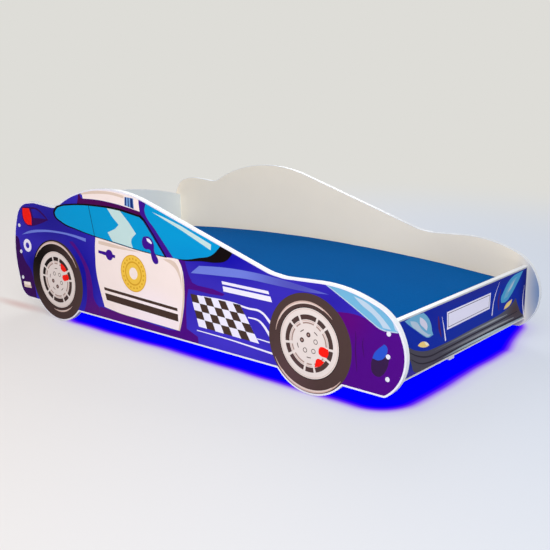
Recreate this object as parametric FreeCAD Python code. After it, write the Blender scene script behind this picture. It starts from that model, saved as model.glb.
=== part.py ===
"""Car bed for children: two car-shaped side boards, two end boards, a sprung slat base, a loose mattress.

Millimetres. +X runs to the car's front, +Y to the child's left when lying with the head at the tail, +Z up.
The model is drawn about the middle of the mattress bay, standing on z = 0, and every piece is then moved
along X, so that the origin is the bottom centre of the whole bed.
"""
import FreeCAD, Part
import math
import os

V = FreeCAD.Vector
Y_AXIS, Z_AXIS = V(0, 1, 0), V(0, 0, 1)

# ---------------------------------------------------------------- mattress, and the bay that takes it
mattress_length = 1600.0
mattress_width = 800.0
mattress_gap = 5.0              # free space round the mattress, on each side
mattress_corner_height = 56.0   # from the slats to the top seam, at the corners
mattress_length_crown = 44.0    # how much higher the seam is half way along
mattress_width_crown = 12.0     # how much the middle stands above the seams
mattress_waist = 5.0            # how far the long sides draw in between the corners
mattress_end_waist = 4.0        # how far the ends draw in between the corners
mattress_bulge = 3.0            # how far the side walls swell beyond the seams
mattress_stations = 6           # stretches that follow the crown along the length
cover_thickness = 1.5
cover_fit = 0.5
soft_gap = 0.3                  # between the mattress and the slats

# ---------------------------------------------------------------- boards
board = 16.0
band = 1.0                      # plastic edge band
print_film = 0.5
print_margin = 5.5              # unprinted rim round each print
sill_height = 55.0              # underside of the side boards between the wheels
junction_round = 4.0            # inside corners between wheel and sill

# ---------------------------------------------------------------- wheels, which are lobes of the side boards
wheel_radius = 152.0
wheel_flat = 1.0                # sliced off each wheel where it stands
rear_axle = 220.0               # forward of the rear board's outer face
front_axle = 270.5              # behind the front board's outer face
glide_height = 2.5
glide_length = 30.0
glide_width = 12.0
glide_corner = 4.0

# ---------------------------------------------------------------- tail, roof and nose of the outline
# each corner of the outline: distance from an end board's outer face (+ forward), height, rounding radius
tail_foot = (0.0, sill_height, 56.0)
tail_belly = (-47.5, 261.0, 351.0)
tail_crest = (13.5, 414.0, 84.0)
boot_lid = (103.5, 428.0, 120.0)
boot_notch = (228.5, 421.0, 64.0)
rear_window = (313.5, 468.0, 419.0)
roof = (531.5, 542.0, 597.0)
windscreen_foot = (-413.5, 337.0, 162.0)
scuttle = (-360.5, 332.0, 117.0)
bonnet = (-137.5, 344.0, 461.0)
nose_top = (10.5, 285.0, 132.0)
nose_tip = (78.5, 126.0, 138.0)
chin = (-15.5, sill_height, 21.0)

# ---------------------------------------------------------------- end boards
end_bottom = 84.5
front_height = 180.5
rear_side_height = 261.5        # where the rear board meets the side boards
rear_arch = 59.0                # how much higher its middle is
front_screw_low = 25.0          # lowest screw above the end board's lower edge
front_screw_top = 29.5          # highest screw below its upper edge
rear_screw_low = 45.5
rear_screw_top = 16.8
corner_screws = 3

# ---------------------------------------------------------------- corner screws, caps and dowels
screw_length = 50.0
screw_shank_radius = 3.4
screw_head_radius = 5.0
screw_head_depth = 3.0
cap_radius = 6.3
cap_thickness = 0.8
fit = 0.1                       # radial clearance of screws and dowels
hidden_flats = 12               # screws and dowels inside the wood have flats in place of a round
dowel_radius = 4.0
dowel_length = 30.0
dowel_in_side = 11.0
drill_spare = 1.0               # extra depth of each blind hole

# ---------------------------------------------------------------- sprung slats on two rails
slat_top = 155.0
slat_crown = 12.0
slat_thickness = 8.0
slat_width = 68.0
slat_pitch = 118.0
slat_end_gap = 6.0              # from a slat's end to the side board
slat_end_room = 35.0            # least room between the last slat and an end board
holder_wall = 3.0
holder_depth = 24.0
slat_fit = 0.3
rail_width = 30.0
rail_height = 40.0
rail_end_gap = 1.0
rail_screw_radius = 2.4
rail_screw_head_radius = 4.6
rail_screw_head_depth = 2.0
rail_screw_bite = 10.0          # into the side board
rail_screw_count = 4            # in each rail

# ---------------------------------------------------------------- underglow lighting
strip_width = 10.0
strip_thickness = 3.0
strip_rise = 3.0                # above the lower edge of the board that carries it
strip_end_gap = 30.0
receiver_length = 28.0
receiver_depth = 12.0
receiver_height = 9.0
receiver_offset = -83.0         # towards the right side board
receiver_round = 2.0
controller_length = 60.0
controller_depth = 20.0
controller_height = 34.0
controller_rise = 8.0
controller_offset = 180.0
controller_chamfer = 2.0
inlet_radius = 3.0
inlet_depth = 12.0

# ---------------------------------------------------------------- what follows from the sizes above
half_length = mattress_length / 2 + mattress_gap        # bay centre to an end board's inner face
half_width = mattress_width / 2 + mattress_gap          # bay centre to a side board's inner face
end_face = half_length + board                          # bay centre to an end board's outer face
side_face = half_width + board                          # bay centre to a side board's outer face
end_middle = half_length + board / 2
wheel_centre_height = glide_height + wheel_radius - wheel_flat
axles = (-end_face + rear_axle, end_face - front_axle)
slat_end_top = slat_top - slat_crown
rail_top = slat_end_top - slat_thickness - slat_fit - holder_wall
slat_half = half_width - slat_end_gap
FRONT, REAR = 1, -1
LEFT, RIGHT = 1, -1
SIDE_NAMES = {RIGHT: "right", LEFT: "left"}
same_place = 1e-4                # two points nearer than this are one
parallel = 0.99                  # least cosine between two directions that count as one


# ---------------------------------------------------------------- small tools
def rounded_wire(corners):
    """A closed wire in the XZ plane: straight runs joined by tangent arcs, from (x, z, radius) corners."""
    count = len(corners)
    points = [V(x, 0, z) for x, z, _ in corners]
    runs = [points[(i + 1) % count] - points[i] for i in range(count)]
    half_turns = []
    for i in range(count):
        half_turns.append(runs[i - 1].getAngle(runs[i]) / 2)
    reach = [corners[i][2] * math.tan(half_turns[i]) for i in range(count)]
    shrink = [min(1.0, runs[i].Length / (reach[i] + reach[(i + 1) % count])) for i in range(count)]
    reach = [reach[i] * min(shrink[i - 1], shrink[i]) for i in range(count)]
    edges = []
    for i in range(count):
        into, out = V(runs[i - 1]).normalize(), V(runs[i]).normalize()
        start, end = points[i] - into * reach[i], points[i] + out * reach[i]
        radius = reach[i] / math.tan(half_turns[i])
        inward = (out - into).normalize()
        middle = points[i] + inward * (radius / math.cos(half_turns[i]) - radius)
        edges.append(Part.Arc(start, middle, end).toShape())
        following = (i + 1) % count
        next_start = points[following] - out * reach[following]
        if (next_start - end).Length > same_place:
            edges.append(Part.LineSegment(end, next_start).toShape())
    return Part.Wire(Part.__sortEdges__(edges))


def box(x_low, x_high, y_low, y_high, z_low, z_high):
    """A block between two opposite corners."""
    return Part.makeBox(x_high - x_low, y_high - y_low, z_high - z_low, V(x_low, y_low, z_low))


def rod(start, direction, length, radius):
    """A round bar."""
    return Part.makeCylinder(radius, length, start, direction)


def hidden_rod(start, length, radius):
    """A bar along +Y for what lies inside the wood: a prism whose flats touch the true round bar."""
    turns = [math.tau * (i + 0.5) / hidden_flats for i in range(hidden_flats + 1)]
    corner = radius / math.cos(math.pi / hidden_flats)
    ring = [V(corner * math.cos(a), start, corner * math.sin(a)) for a in turns]
    return Part.Face(Part.makePolygon(ring)).extrude(V(0, length, 0))


def from_side(shape, side, x, z):
    """Put a piece drawn with y = 0 on a side board's outer face, +Y inwards, at its place on that board."""
    shape = shape.copy()
    if side == LEFT:
        shape.rotate(V(0, 0, 0), Z_AXIS, 180)
    shape.translate(V(x, side * side_face, z))
    return shape


def rounded_block(shape, radius, axis):
    """A block with the edges that run along one axis rounded off."""
    edges = [e for e in shape.Edges if abs(e.tangentAt(e.FirstParameter).dot(axis)) > parallel]
    return shape.makeFillet(radius, edges)


def slab_y(wire, y_low, y_high):
    """A plate of one outline in the XZ plane, between two y values."""
    plate = Part.Face(wire).extrude(V(0, y_high - y_low, 0))
    plate.translate(V(0, y_low, 0))
    return plate


# ---------------------------------------------------------------- outlines
def side_wire():
    """The car's outline: body, plus two round wheels that reach below the sill and stand on a flat."""
    rear_corners = [tail_foot, tail_belly, tail_crest, boot_lid, boot_notch, rear_window, roof]
    front_corners = [windscreen_foot, scuttle, bonnet, nose_top, nose_tip, chin]
    corners = [(x - end_face, z, r) for x, z, r in rear_corners]
    corners += [(x + end_face, z, r) for x, z, r in front_corners]
    shape = Part.Face(rounded_wire(corners)).extrude(V(0, board, 0))
    for x in axles:
        wheel = rod(V(x, 0, wheel_centre_height), Y_AXIS, board, wheel_radius)
        wheel = wheel.cut(box(x - wheel_radius, x + wheel_radius, 0, board, -wheel_radius, glide_height))
        shape = shape.fuse(wheel)
    shape = shape.removeSplitter()
    inner_corners = []
    for edge in shape.Edges:
        start, end = [v.Point for v in edge.Vertexes] if len(edge.Vertexes) == 2 else (V(), V())
        across = abs((end - start).dot(Y_AXIS)) > board / 2
        at_sill = abs(start.z - sill_height) < same_place
        if across and at_sill and min(abs(start.x - x) for x in axles) < wheel_radius:
            inner_corners.append(edge)
    shape = shape.makeFillet(junction_round, inner_corners)
    outer = [f for f in shape.Faces if abs(f.CenterOfMass.y) < same_place][0]
    return outer.OuterWire


def arch_wire(inset):
    """The rear board's outline in the YZ plane, drawn in by an inset at its top and bottom."""
    low, high = end_bottom + inset, end_bottom + rear_side_height - inset
    corners = [V(0, -half_width, high), V(0, -half_width, low), V(0, half_width, low), V(0, half_width, high)]
    crest = V(0, 0, end_bottom + rear_side_height + rear_arch - inset)
    edges = [Part.LineSegment(corners[i], corners[i + 1]).toShape() for i in range(3)]
    edges.append(Part.Arc(corners[3], crest, corners[0]).toShape())
    return Part.Wire(edges)


# ---------------------------------------------------------------- corner fasteners
def screw_heights(end):
    """Heights of the screws of one corner, evenly spread over the end board's side."""
    if end == FRONT:
        low, high = front_screw_low, front_height - front_screw_top
    else:
        low, high = rear_screw_low, rear_side_height - rear_screw_top
    pitch = (high - low) / (corner_screws - 1)
    return [end_bottom + low + i * pitch for i in range(corner_screws)]


def dowel_heights(end):
    """The dowels stand half way between the screws."""
    heights = screw_heights(end)
    return [(a + b) / 2 for a, b in zip(heights, heights[1:])]


def headed_pin(head_radius, head_depth, radius, length):
    """A round head and a shank, along +Y from y = 0."""
    head = hidden_rod(0, head_depth, head_radius)
    return head.fuse(hidden_rod(0, length, radius)).removeSplitter()


def corner_screw(clearance=0.0, spare=0.0):
    """A furniture screw, its head flush with the board, or with a clearance the hole that it needs."""
    return headed_pin(screw_head_radius + clearance, screw_head_depth,
                      screw_shank_radius + clearance, screw_length + spare)


def screw_cap():
    """A flat self-adhesive cap on the printed face, over a screw's head."""
    return rod(V(0, -print_film - cap_thickness, 0), Y_AXIS, cap_thickness, cap_radius)


def dowel(clearance=0.0):
    """A beech dowel across the joint, or with a clearance the hole that it needs."""
    spare = drill_spare if clearance else 0.0
    return hidden_rod(board - dowel_in_side - spare, dowel_length + 2 * spare, dowel_radius + clearance)


def corner_holes(side, ends=(FRONT, REAR)):
    """All the holes that the screws and dowels of one side need."""
    holes = []
    for end in ends:
        x = end * end_middle
        holes += [from_side(corner_screw(fit, drill_spare), side, x, z) for z in screw_heights(end)]
        holes += [from_side(dowel(fit), side, x, z) for z in dowel_heights(end)]
    return holes


# ---------------------------------------------------------------- glides under the wheels
def glide(x, side):
    """A flat nylon pad with its corners cut off, stuck under a wheel."""
    y = side * (half_width + board / 2)
    pad = box(x - glide_length / 2, x + glide_length / 2, y - glide_width / 2, y + glide_width / 2,
              0, glide_height)
    upright = [e for e in pad.Edges if e.BoundBox.ZLength > glide_height / 2]
    return pad.makeChamfer(glide_corner, upright)


# ---------------------------------------------------------------- slats, their holders and rails
def slat_places():
    """x of each slat's middle: as many as the bay takes, at one pitch, evenly about its middle."""
    room = 2 * (half_length - slat_end_room) - slat_width
    count = int(room // slat_pitch) + 1
    return [(i - (count - 1) / 2) * slat_pitch for i in range(count)]


def slat(x):
    """A bent birch slat, its ends flat on their edges and its middle a crown above them."""
    end_low = slat_end_top - slat_thickness
    hollow = slat_top - slat_thickness
    right_top, left_top = V(0, -slat_half, slat_end_top), V(0, slat_half, slat_end_top)
    right_low, left_low = V(0, -slat_half, end_low), V(0, slat_half, end_low)
    edges = [Part.Arc(right_top, V(0, 0, slat_top), left_top).toShape(),
             Part.LineSegment(left_top, left_low).toShape(),
             Part.Arc(left_low, V(0, 0, hollow), right_low).toShape(),
             Part.LineSegment(right_low, right_top).toShape()]
    solid = Part.Face(Part.Wire(edges)).extrude(V(slat_width, 0, 0))
    solid.translate(V(x - slat_width / 2, 0, 0))
    return solid


def slat_rise(y):
    """How much higher the bent slat is at y than at its ends."""
    return slat_crown * (1 - (y / slat_half) ** 2)


def slat_holder(x, side):
    """A plastic cup stapled on the rail, open towards the middle, that takes one slat end."""
    outer, inner = half_width - slat_fit, half_width - holder_depth
    mouth_top = slat_end_top + slat_rise(inner) + slat_fit
    half_slot = slat_width / 2 + slat_fit
    half_cup = half_slot + holder_wall
    cup = box(x - half_cup, x + half_cup, inner, outer, rail_top, mouth_top + holder_wall)
    slot = box(x - half_slot, x + half_slot, inner, slat_half + slat_fit, rail_top + holder_wall, mouth_top)
    cup = cup.cut(slot)
    if side == RIGHT:
        cup.rotate(V(x, 0, 0), Z_AXIS, 180)
    return cup


def rail_screw(x, side, clearance=0.0):
    """A wood screw through the rail into the side board, or with a clearance its hole."""
    grip = rail_width + rail_screw_bite
    if clearance:
        solid = hidden_rod(0, grip + drill_spare, rail_screw_radius + clearance)
    else:
        solid = headed_pin(rail_screw_head_radius, rail_screw_head_depth, rail_screw_radius,
                           grip + rail_screw_head_depth)
        solid.translate(V(0, -rail_screw_head_depth, 0))
    if side == RIGHT:
        solid.rotate(V(0, 0, 0), Z_AXIS, 180)
    solid.translate(V(x, side * (half_width - rail_width), rail_top - rail_height / 2))
    return solid


def rail_screw_places():
    """The rail screws stand between the slats, spread from the first gap to the last."""
    gaps = [x + slat_pitch / 2 for x in slat_places()[:-1]]
    share = (len(gaps) - 1) / (rail_screw_count - 1)
    return [gaps[round(i * share)] for i in range(rail_screw_count)]


def rail(side):
    """A pine batten along the side board, with the holes for its screws."""
    outer, inner = side * half_width, side * (half_width - rail_width)
    end = half_length - rail_end_gap
    batten = box(-end, end, min(outer, inner), max(outer, inner), rail_top - rail_height, rail_top)
    return batten.cut([rail_screw(x, side, fit) for x in rail_screw_places()])


# ---------------------------------------------------------------- boards
def side_board(side, outline):
    """One side board without its band: drilled for corner screws, dowels and rail screws."""
    core = outline.makeOffset2D(-band)
    y = sorted((side * half_width, side * side_face))
    solid = slab_y(core, *y)
    return solid.cut(corner_holes(side) + [rail_screw(x, side, fit) for x in rail_screw_places()])


def side_band(side, outline):
    """The plastic band that runs round a side board's edge."""
    y = sorted((side * half_width, side * side_face))
    return slab_y(outline, *y).cut(slab_y(outline.makeOffset2D(-band), *y))


def side_print(side, outline):
    """The printed film on a side board's outer face."""
    y = sorted((side * side_face, side * (side_face + print_film)))
    film = slab_y(outline.makeOffset2D(-print_margin), *y)
    holes = []
    for end in (FRONT, REAR):
        for z in screw_heights(end):
            hole = hidden_rod(-print_film, print_film, screw_head_radius + fit)
            holes.append(from_side(hole, side, end * end_middle, z))
    return film.cut(holes)


def end_holes(end):
    """Both corners' holes in one end board."""
    return corner_holes(LEFT, (end,)) + corner_holes(RIGHT, (end,))


def front_board():
    """The straight front board between the side boards, without its bands."""
    top = end_bottom + front_height
    solid = box(half_length, end_face, -half_width, half_width, end_bottom + band, top - band)
    return solid.cut(end_holes(FRONT))


def front_bands():
    """Bands on the front board's upper and lower edges."""
    top = end_bottom + front_height
    low = box(half_length, end_face, -half_width, half_width, end_bottom, end_bottom + band)
    high = box(half_length, end_face, -half_width, half_width, top - band, top)
    return Part.makeCompound([low, high])


def front_print():
    """The printed film on the front board's outer face."""
    reach = half_width - print_margin
    low, high = end_bottom + print_margin, end_bottom + front_height - print_margin
    return box(end_face, end_face + print_film, -reach, reach, low, high)


def rear_plate(inset):
    """The rear board's arched plate."""
    plate = Part.Face(arch_wire(inset)).extrude(V(board, 0, 0))
    plate.translate(V(-end_face, 0, 0))
    return plate


def rear_board():
    """The arched rear board between the side boards, without its bands."""
    return rear_plate(band).cut(end_holes(REAR))


def rear_bands():
    """Bands on the rear board's arch and lower edge."""
    return rear_plate(0).cut(rear_plate(band))


# ---------------------------------------------------------------- mattress
def mattress_section(x, inset):
    """One cross-section: flat bottom, side walls that swell a little, and a crowned top."""
    middle_share = 1 - (2 * x / mattress_length) ** 2
    wall = mattress_width / 2 - mattress_bulge - mattress_waist * middle_share - inset
    low = slat_top + soft_gap + inset
    seam = slat_top + soft_gap + mattress_corner_height + mattress_length_crown * middle_share - inset
    bulge = V(0, wall + mattress_bulge, 0)
    right_low, right_seam = V(x, -wall, low), V(x, -wall, seam)
    left_low, left_seam = V(x, wall, low), V(x, wall, seam)
    waist_line, crest = V(x, 0, (low + seam) / 2), V(x, 0, seam + mattress_width_crown)
    edges = [Part.LineSegment(right_low, left_low).toShape(),
             Part.Arc(left_low, waist_line + bulge, left_seam).toShape(),
             Part.Arc(left_seam, crest, right_seam).toShape(),
             Part.Arc(right_seam, waist_line - bulge, right_low).toShape()]
    return Part.Wire(edges)


def end_hollow(end, inset):
    """What the mattress draws in at one end, between its corners: the inside of a very large cylinder."""
    half = mattress_width / 2
    radius = (half ** 2 + mattress_end_waist ** 2) / (2 * mattress_end_waist)
    x = end * (mattress_length / 2 - mattress_end_waist - inset + radius)
    height = mattress_corner_height + mattress_length_crown + mattress_width_crown
    return rod(V(x, 0, slat_top), Z_AXIS, 2 * height, radius)


def mattress_form(inset):
    """The mattress, lofted along its length, drawn in by an inset all round."""
    step = mattress_length / mattress_stations
    places = [i * step - mattress_length / 2 for i in range(mattress_stations + 1)]
    form = Part.makeLoft([mattress_section(x, inset) for x in places], True, True)
    return form.cut([end_hollow(end, inset) for end in (FRONT, REAR)])


def mattress_cover():
    """The cloth cover, a skin round the foam."""
    return mattress_form(0).cut(mattress_form(cover_thickness))


def mattress_core():
    """The foam block inside the cover."""
    return mattress_form(cover_thickness + cover_fit)


# ---------------------------------------------------------------- underglow lighting
def strip_section():
    """Half-round section of the light strip: 0..strip_width along +Z, its back on y = 0."""
    back_low, back_high = V(0, 0, 0), V(0, 0, strip_width)
    edges = [Part.LineSegment(back_high, back_low).toShape(),
             Part.Arc(back_low, V(0, strip_thickness, strip_width / 2), back_high).toShape()]
    return Part.Face(Part.Wire(edges))


def side_strip(side):
    """The light strip along a side board's inner face, just above the sill."""
    length = 2 * (half_length - strip_end_gap)
    strip = strip_section().extrude(V(length, 0, 0))
    strip.translate(V(-length / 2, 0, 0))
    if side == LEFT:
        strip.rotate(V(0, 0, 0), Z_AXIS, 180)
    strip.translate(V(0, side * half_width, sill_height + strip_rise))
    return strip


def front_strip():
    """The light strip along the front board's inner face, just above its lower edge."""
    length = 2 * (half_width - strip_end_gap)
    strip = strip_section().extrude(V(length, 0, 0))
    strip.translate(V(-length / 2, 0, 0))
    strip.rotate(V(0, 0, 0), Z_AXIS, 90)
    strip.translate(V(half_length, 0, end_bottom + strip_rise))
    return strip


def receiver():
    """The remote control's receiver, stuck under the front board's lower edge."""
    middle = receiver_offset
    block = box(end_middle - receiver_depth / 2, end_middle + receiver_depth / 2,
                middle - receiver_length / 2, middle + receiver_length / 2,
                end_bottom - receiver_height, end_bottom)
    return rounded_block(block, receiver_round, Z_AXIS)


def controller():
    """The light controller's box on the inside of the rear board, with its power inlet underneath."""
    low = end_bottom + controller_rise
    block = box(-half_length, -half_length + controller_depth,
                controller_offset - controller_length / 2, controller_offset + controller_length / 2,
                low, low + controller_height)
    outer_edges = [e for e in block.Edges if e.BoundBox.XMin > -half_length + controller_depth / 2]
    block = block.makeChamfer(controller_chamfer, outer_edges)
    inlet = V(-half_length + controller_depth / 2, controller_offset, low)
    return block.cut(rod(inlet, Z_AXIS, inlet_depth, inlet_radius))


# ---------------------------------------------------------------- all pieces, by name
def side_pieces(side, outline):
    """The pieces that belong to one side of the bed."""
    name = SIDE_NAMES[side]
    return {
        name + "_side_panel": side_board(side, outline),
        name + "_edge_band": side_band(side, outline),
        name + "_print": side_print(side, outline),
        name + "_rail": rail(side),
        name + "_slat_holders": Part.makeCompound([slat_holder(x, side) for x in slat_places()]),
        name + "_light_strip": side_strip(side),
    }


def at_corners(piece, heights):
    """Copies of one fastener at every corner and every height."""
    copies = []
    for side in (RIGHT, LEFT):
        for end in (FRONT, REAR):
            copies += [from_side(piece, side, end * end_middle, z) for z in heights(end)]
    return Part.makeCompound(copies)


def fasteners():
    """What repeats all round the bed: one node for each kind."""
    both = (RIGHT, LEFT)
    return {
        "corner_screws": at_corners(corner_screw(), screw_heights),
        "screw_caps": at_corners(screw_cap(), screw_heights),
        "corner_dowels": at_corners(dowel(), dowel_heights),
        "rail_screws": Part.makeCompound([rail_screw(x, side) for side in both for x in rail_screw_places()]),
        "floor_glides": Part.makeCompound([glide(x, side) for side in both for x in axles]),
    }


def bed_pieces():
    """Every piece of the bed by its name, and the outline of the side boards."""
    outline = side_wire()
    pieces = {}
    for side in (RIGHT, LEFT):
        pieces.update(side_pieces(side, outline))
    pieces.update(fasteners())
    pieces["front_panel"] = front_board()
    pieces["front_edge_bands"] = front_bands()
    pieces["front_print"] = front_print()
    pieces["rear_panel"] = rear_board()
    pieces["rear_edge_bands"] = rear_bands()
    for number, x in enumerate(slat_places(), 1):
        pieces["slat_%02d" % number] = slat(x)
    pieces["mattress_cover"] = mattress_cover()
    pieces["mattress_core"] = mattress_core()
    pieces["front_light_strip"] = front_strip()
    pieces["light_receiver"] = receiver()
    pieces["light_controller"] = controller()
    return pieces, outline


def main():
    """Build every piece, bring the origin to the bottom centre, and write one file each."""
    os.makedirs("parts", exist_ok=True)
    pieces, outline = bed_pieces()
    extent = Part.Face(outline).optimalBoundingBox()
    to_origin = V(-(extent.XMin + extent.XMax) / 2, 0, 0)
    print("origin shift along X: %.3f mm" % to_origin.x)
    print("outline length %.2f, height %.2f mm" % (extent.XLength, extent.ZMax))
    for name, shape in pieces.items():
        shape.translate(to_origin)
        shape.exportStep("parts/%s.step" % name)
        print("%-22s %2d solids  %12.1f mm3" % (name, len(shape.Solids), shape.Volume))
    print(len(pieces), "nodes")


main()
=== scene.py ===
# %% [markdown]
# # A car bed for children
#
# The bed is flat-pack furniture: two car-shaped side boards with a printed film on their outer face, a low
# front board, an arched rear board, sprung slats and a loose blue mattress. Light strips under the boards
# throw a blue glow on the floor.
#
# The boards, slats and fixings come from the construction model, so they are dressed here and not moved.
# What is made here is what that model leaves plain: the picture on the film, the mattress, the caps and the
# light.

# %% Load the frame
import contextlib
import math
import bpy
from mathutils import Matrix, Vector


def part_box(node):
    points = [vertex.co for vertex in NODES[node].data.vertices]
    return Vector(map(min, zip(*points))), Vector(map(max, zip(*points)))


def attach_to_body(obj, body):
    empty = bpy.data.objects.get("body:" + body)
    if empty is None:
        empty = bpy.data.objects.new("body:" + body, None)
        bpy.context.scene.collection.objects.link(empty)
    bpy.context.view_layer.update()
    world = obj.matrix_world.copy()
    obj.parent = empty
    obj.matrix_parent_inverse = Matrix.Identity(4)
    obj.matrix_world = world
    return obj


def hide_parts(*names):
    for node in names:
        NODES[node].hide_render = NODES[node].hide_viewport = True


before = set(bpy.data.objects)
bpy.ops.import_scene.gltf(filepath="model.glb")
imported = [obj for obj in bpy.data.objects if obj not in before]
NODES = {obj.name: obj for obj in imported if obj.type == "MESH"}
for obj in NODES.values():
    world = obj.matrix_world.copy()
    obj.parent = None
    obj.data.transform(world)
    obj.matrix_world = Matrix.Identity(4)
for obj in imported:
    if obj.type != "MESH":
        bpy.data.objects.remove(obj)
bpy.ops.object.select_all(action="DESELECT")
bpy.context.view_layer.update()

# %% [markdown]
# ## Units and colours
#
# Everything is in metres. The film's picture is easier to think of in millimetres along and above the
# board, so one value turns millimetres into metres. Colours are chosen as they look on a screen, from 0 to
# 255. A shader takes linear light, so each one is turned into that first.

# %% Units and a colour helper
MM = 0.001


def screen_colour(red, green, blue):
    """A colour as a screen shows it, 0 to 255, as the linear colour with alpha that a shader takes."""
    linear = []
    for channel in (red, green, blue):
        share = channel / 255
        linear.append(share / 12.92 if share <= 0.04045 else ((share + 0.055) / 1.055) ** 2.4)
    return (*linear, 1.0)


print("mid grey is", round(screen_colour(128, 128, 128)[0], 3), "in linear light")

# %% [markdown]
# ## Selecting and editing
#
# Most modelling steps work on what is selected, as they do by hand. So a step first selects its piece and
# nothing else. Many steps also need edit mode with the whole piece selected.


# %% Select, edit and paint a piece
def only(*pieces):
    """Selects these pieces and nothing else. The first one is active."""
    bpy.ops.object.select_all(action="DESELECT")
    for piece in pieces:
        piece.select_set(True)
    bpy.context.view_layer.objects.active = pieces[0]


@contextlib.contextmanager
def edit_mode(piece):
    """Opens the piece in edit mode with all of it selected, and closes it again."""
    only(piece)
    bpy.ops.object.mode_set(mode="EDIT")
    bpy.ops.mesh.select_all(action="SELECT")
    yield
    bpy.ops.object.mode_set(mode="OBJECT")


def paint(piece, material):
    """Gives the piece this one finish."""
    piece.data.materials.clear()
    piece.data.materials.append(material)


# %% [markdown]
# ## The camera
#
# The photograph was taken from the car's front right, a little above the roof, with a short tele lens. The
# angles were solved from the boards' straight edges. A camera looks down its own -Z, so it is tipped up
# from the floor, turned to its heading, and rolled by the small slope of the picture.

# %% Camera at the photograph's viewing angle
PICTURE_PIXELS = 550
FOCAL_PIXELS = 880.28
SENSOR_WIDTH = 36.0
CAMERA_PLACE = (1.9795, -2.2900, 0.9420)
CAMERA_HEADING = math.radians(39.85)
CAMERA_TILT_DOWN = math.radians(13.817)
CAMERA_ROLL = math.radians(-0.2016)
AXIS_ABOVE_CENTRE_PIXELS = 3.5
FARTHEST_SEEN = 60

bpy.ops.object.camera_add()
camera = bpy.context.object
camera.name = "camera"
camera.data.sensor_width = SENSOR_WIDTH
camera.data.lens = FOCAL_PIXELS / PICTURE_PIXELS * SENSOR_WIDTH
camera.data.shift_y = -AXIS_ABOVE_CENTRE_PIXELS / PICTURE_PIXELS
camera.data.clip_end = FARTHEST_SEEN
camera.matrix_world = (
    Matrix.Translation(CAMERA_PLACE)
    @ Matrix.Rotation(CAMERA_HEADING, 4, "Z")
    @ Matrix.Rotation(math.pi / 2 - CAMERA_TILT_DOWN, 4, "X")
    @ Matrix.Rotation(CAMERA_ROLL, 4, "Z")
)
bpy.context.scene.camera = camera
bpy.context.scene.view_settings.view_transform = "Standard"
print("lens", round(camera.data.lens, 1), "mm")

# %% [markdown]
# ## Shader building blocks
#
# A material is a small network of nodes. Writing the same clicks again for every finish would be long, so a
# few helpers add a node, set its values and join it. Effects that several finishes share become node
# groups, as one would make with Ctrl+G: fine variation of an ink, wood grain, and the weave of a cloth.


# %% Helpers for node networks
def join(tree, socket, value):
    """Joins an input to an output socket, or sets it to a plain value."""
    if isinstance(value, bpy.types.NodeSocket):
        tree.links.new(value, socket)
    else:
        socket.default_value = value


def add_node(tree, kind, *first_inputs, **values):
    """A new node. The first inputs go in their order, its settings and its other inputs by name."""
    node = tree.nodes.new(kind)
    settings = {key: value for key, value in values.items() if hasattr(node, key)}
    for key, value in settings.items():
        setattr(node, key, value)
    for key, value in values.items():
        if key not in settings:
            join(tree, node.inputs[key.replace("_", " ")], value)
    for socket, value in zip(node.inputs, first_inputs):
        join(tree, socket, value)
    return node


def result(tree, kind, *first_inputs, **values):
    """The first output of a new node."""
    return add_node(tree, kind, *first_inputs, **values).outputs[0]


def maths(tree, operation, *values):
    """The result of a Math node on numbers or sockets."""
    return result(tree, "ShaderNodeMath", *values, operation=operation)


def vectors(tree, operation, *values, **more):
    """The resulting vector of a Vector Math node."""
    return result(tree, "ShaderNodeVectorMath", *values, operation=operation, **more)


def length_of(tree, vector):
    """The length of a vector."""
    return add_node(tree, "ShaderNodeVectorMath", vector, operation="LENGTH").outputs["Value"]


def blend_colours(tree, share, first, second):
    """The result of a Mix node for colours."""
    node = add_node(tree, "ShaderNodeMix", share, data_type="RGBA")
    colour_inputs = node.inputs[6:8]
    for socket, value in zip(colour_inputs, (first, second)):
        join(tree, socket, value)
    return node.outputs[2]


def places(tree, kind="Object"):
    """Where each point lies, in metres of the scene, or on the piece's own UV map."""
    return add_node(tree, "ShaderNodeTexCoord").outputs[kind]


def new_group(name, inputs, outputs):
    """An empty shader node group: its tree, what comes in and what goes out."""
    tree = bpy.data.node_groups.new(name, "ShaderNodeTree")
    kinds = {"number": "NodeSocketFloat", "colour": "NodeSocketColor", "vector": "NodeSocketVector"}
    for sockets, direction in ((inputs, "INPUT"), (outputs, "OUTPUT")):
        for socket_name, kind in sockets.items():
            tree.interface.new_socket(name=socket_name, in_out=direction, socket_type=kinds[kind])
    return tree, tree.nodes.new("NodeGroupInput").outputs, tree.nodes.new("NodeGroupOutput").inputs


# %% Group: the small unevenness of an ink, paint or plastic
tree, group_in, group_out = new_group(
    "fine_variation",
    {"Color": "colour", "Scale": "number", "Amount": "number"},
    {"Color": "colour", "Mask": "number"},
)
clouds = result(tree, "ShaderNodeTexNoise", places(tree), Scale=group_in["Scale"],
                Detail=4.0, Roughness=0.6)
swing = maths(tree, "MULTIPLY", maths(tree, "SUBTRACT", clouds, 0.5), group_in["Amount"])
factor = maths(tree, "ADD", swing, 1.0)
join(tree, group_out["Color"], vectors(tree, "SCALE", group_in["Color"], Scale=factor))
join(tree, group_out["Mask"], clouds)
FINE_VARIATION = tree
print("group", tree.name)

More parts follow.
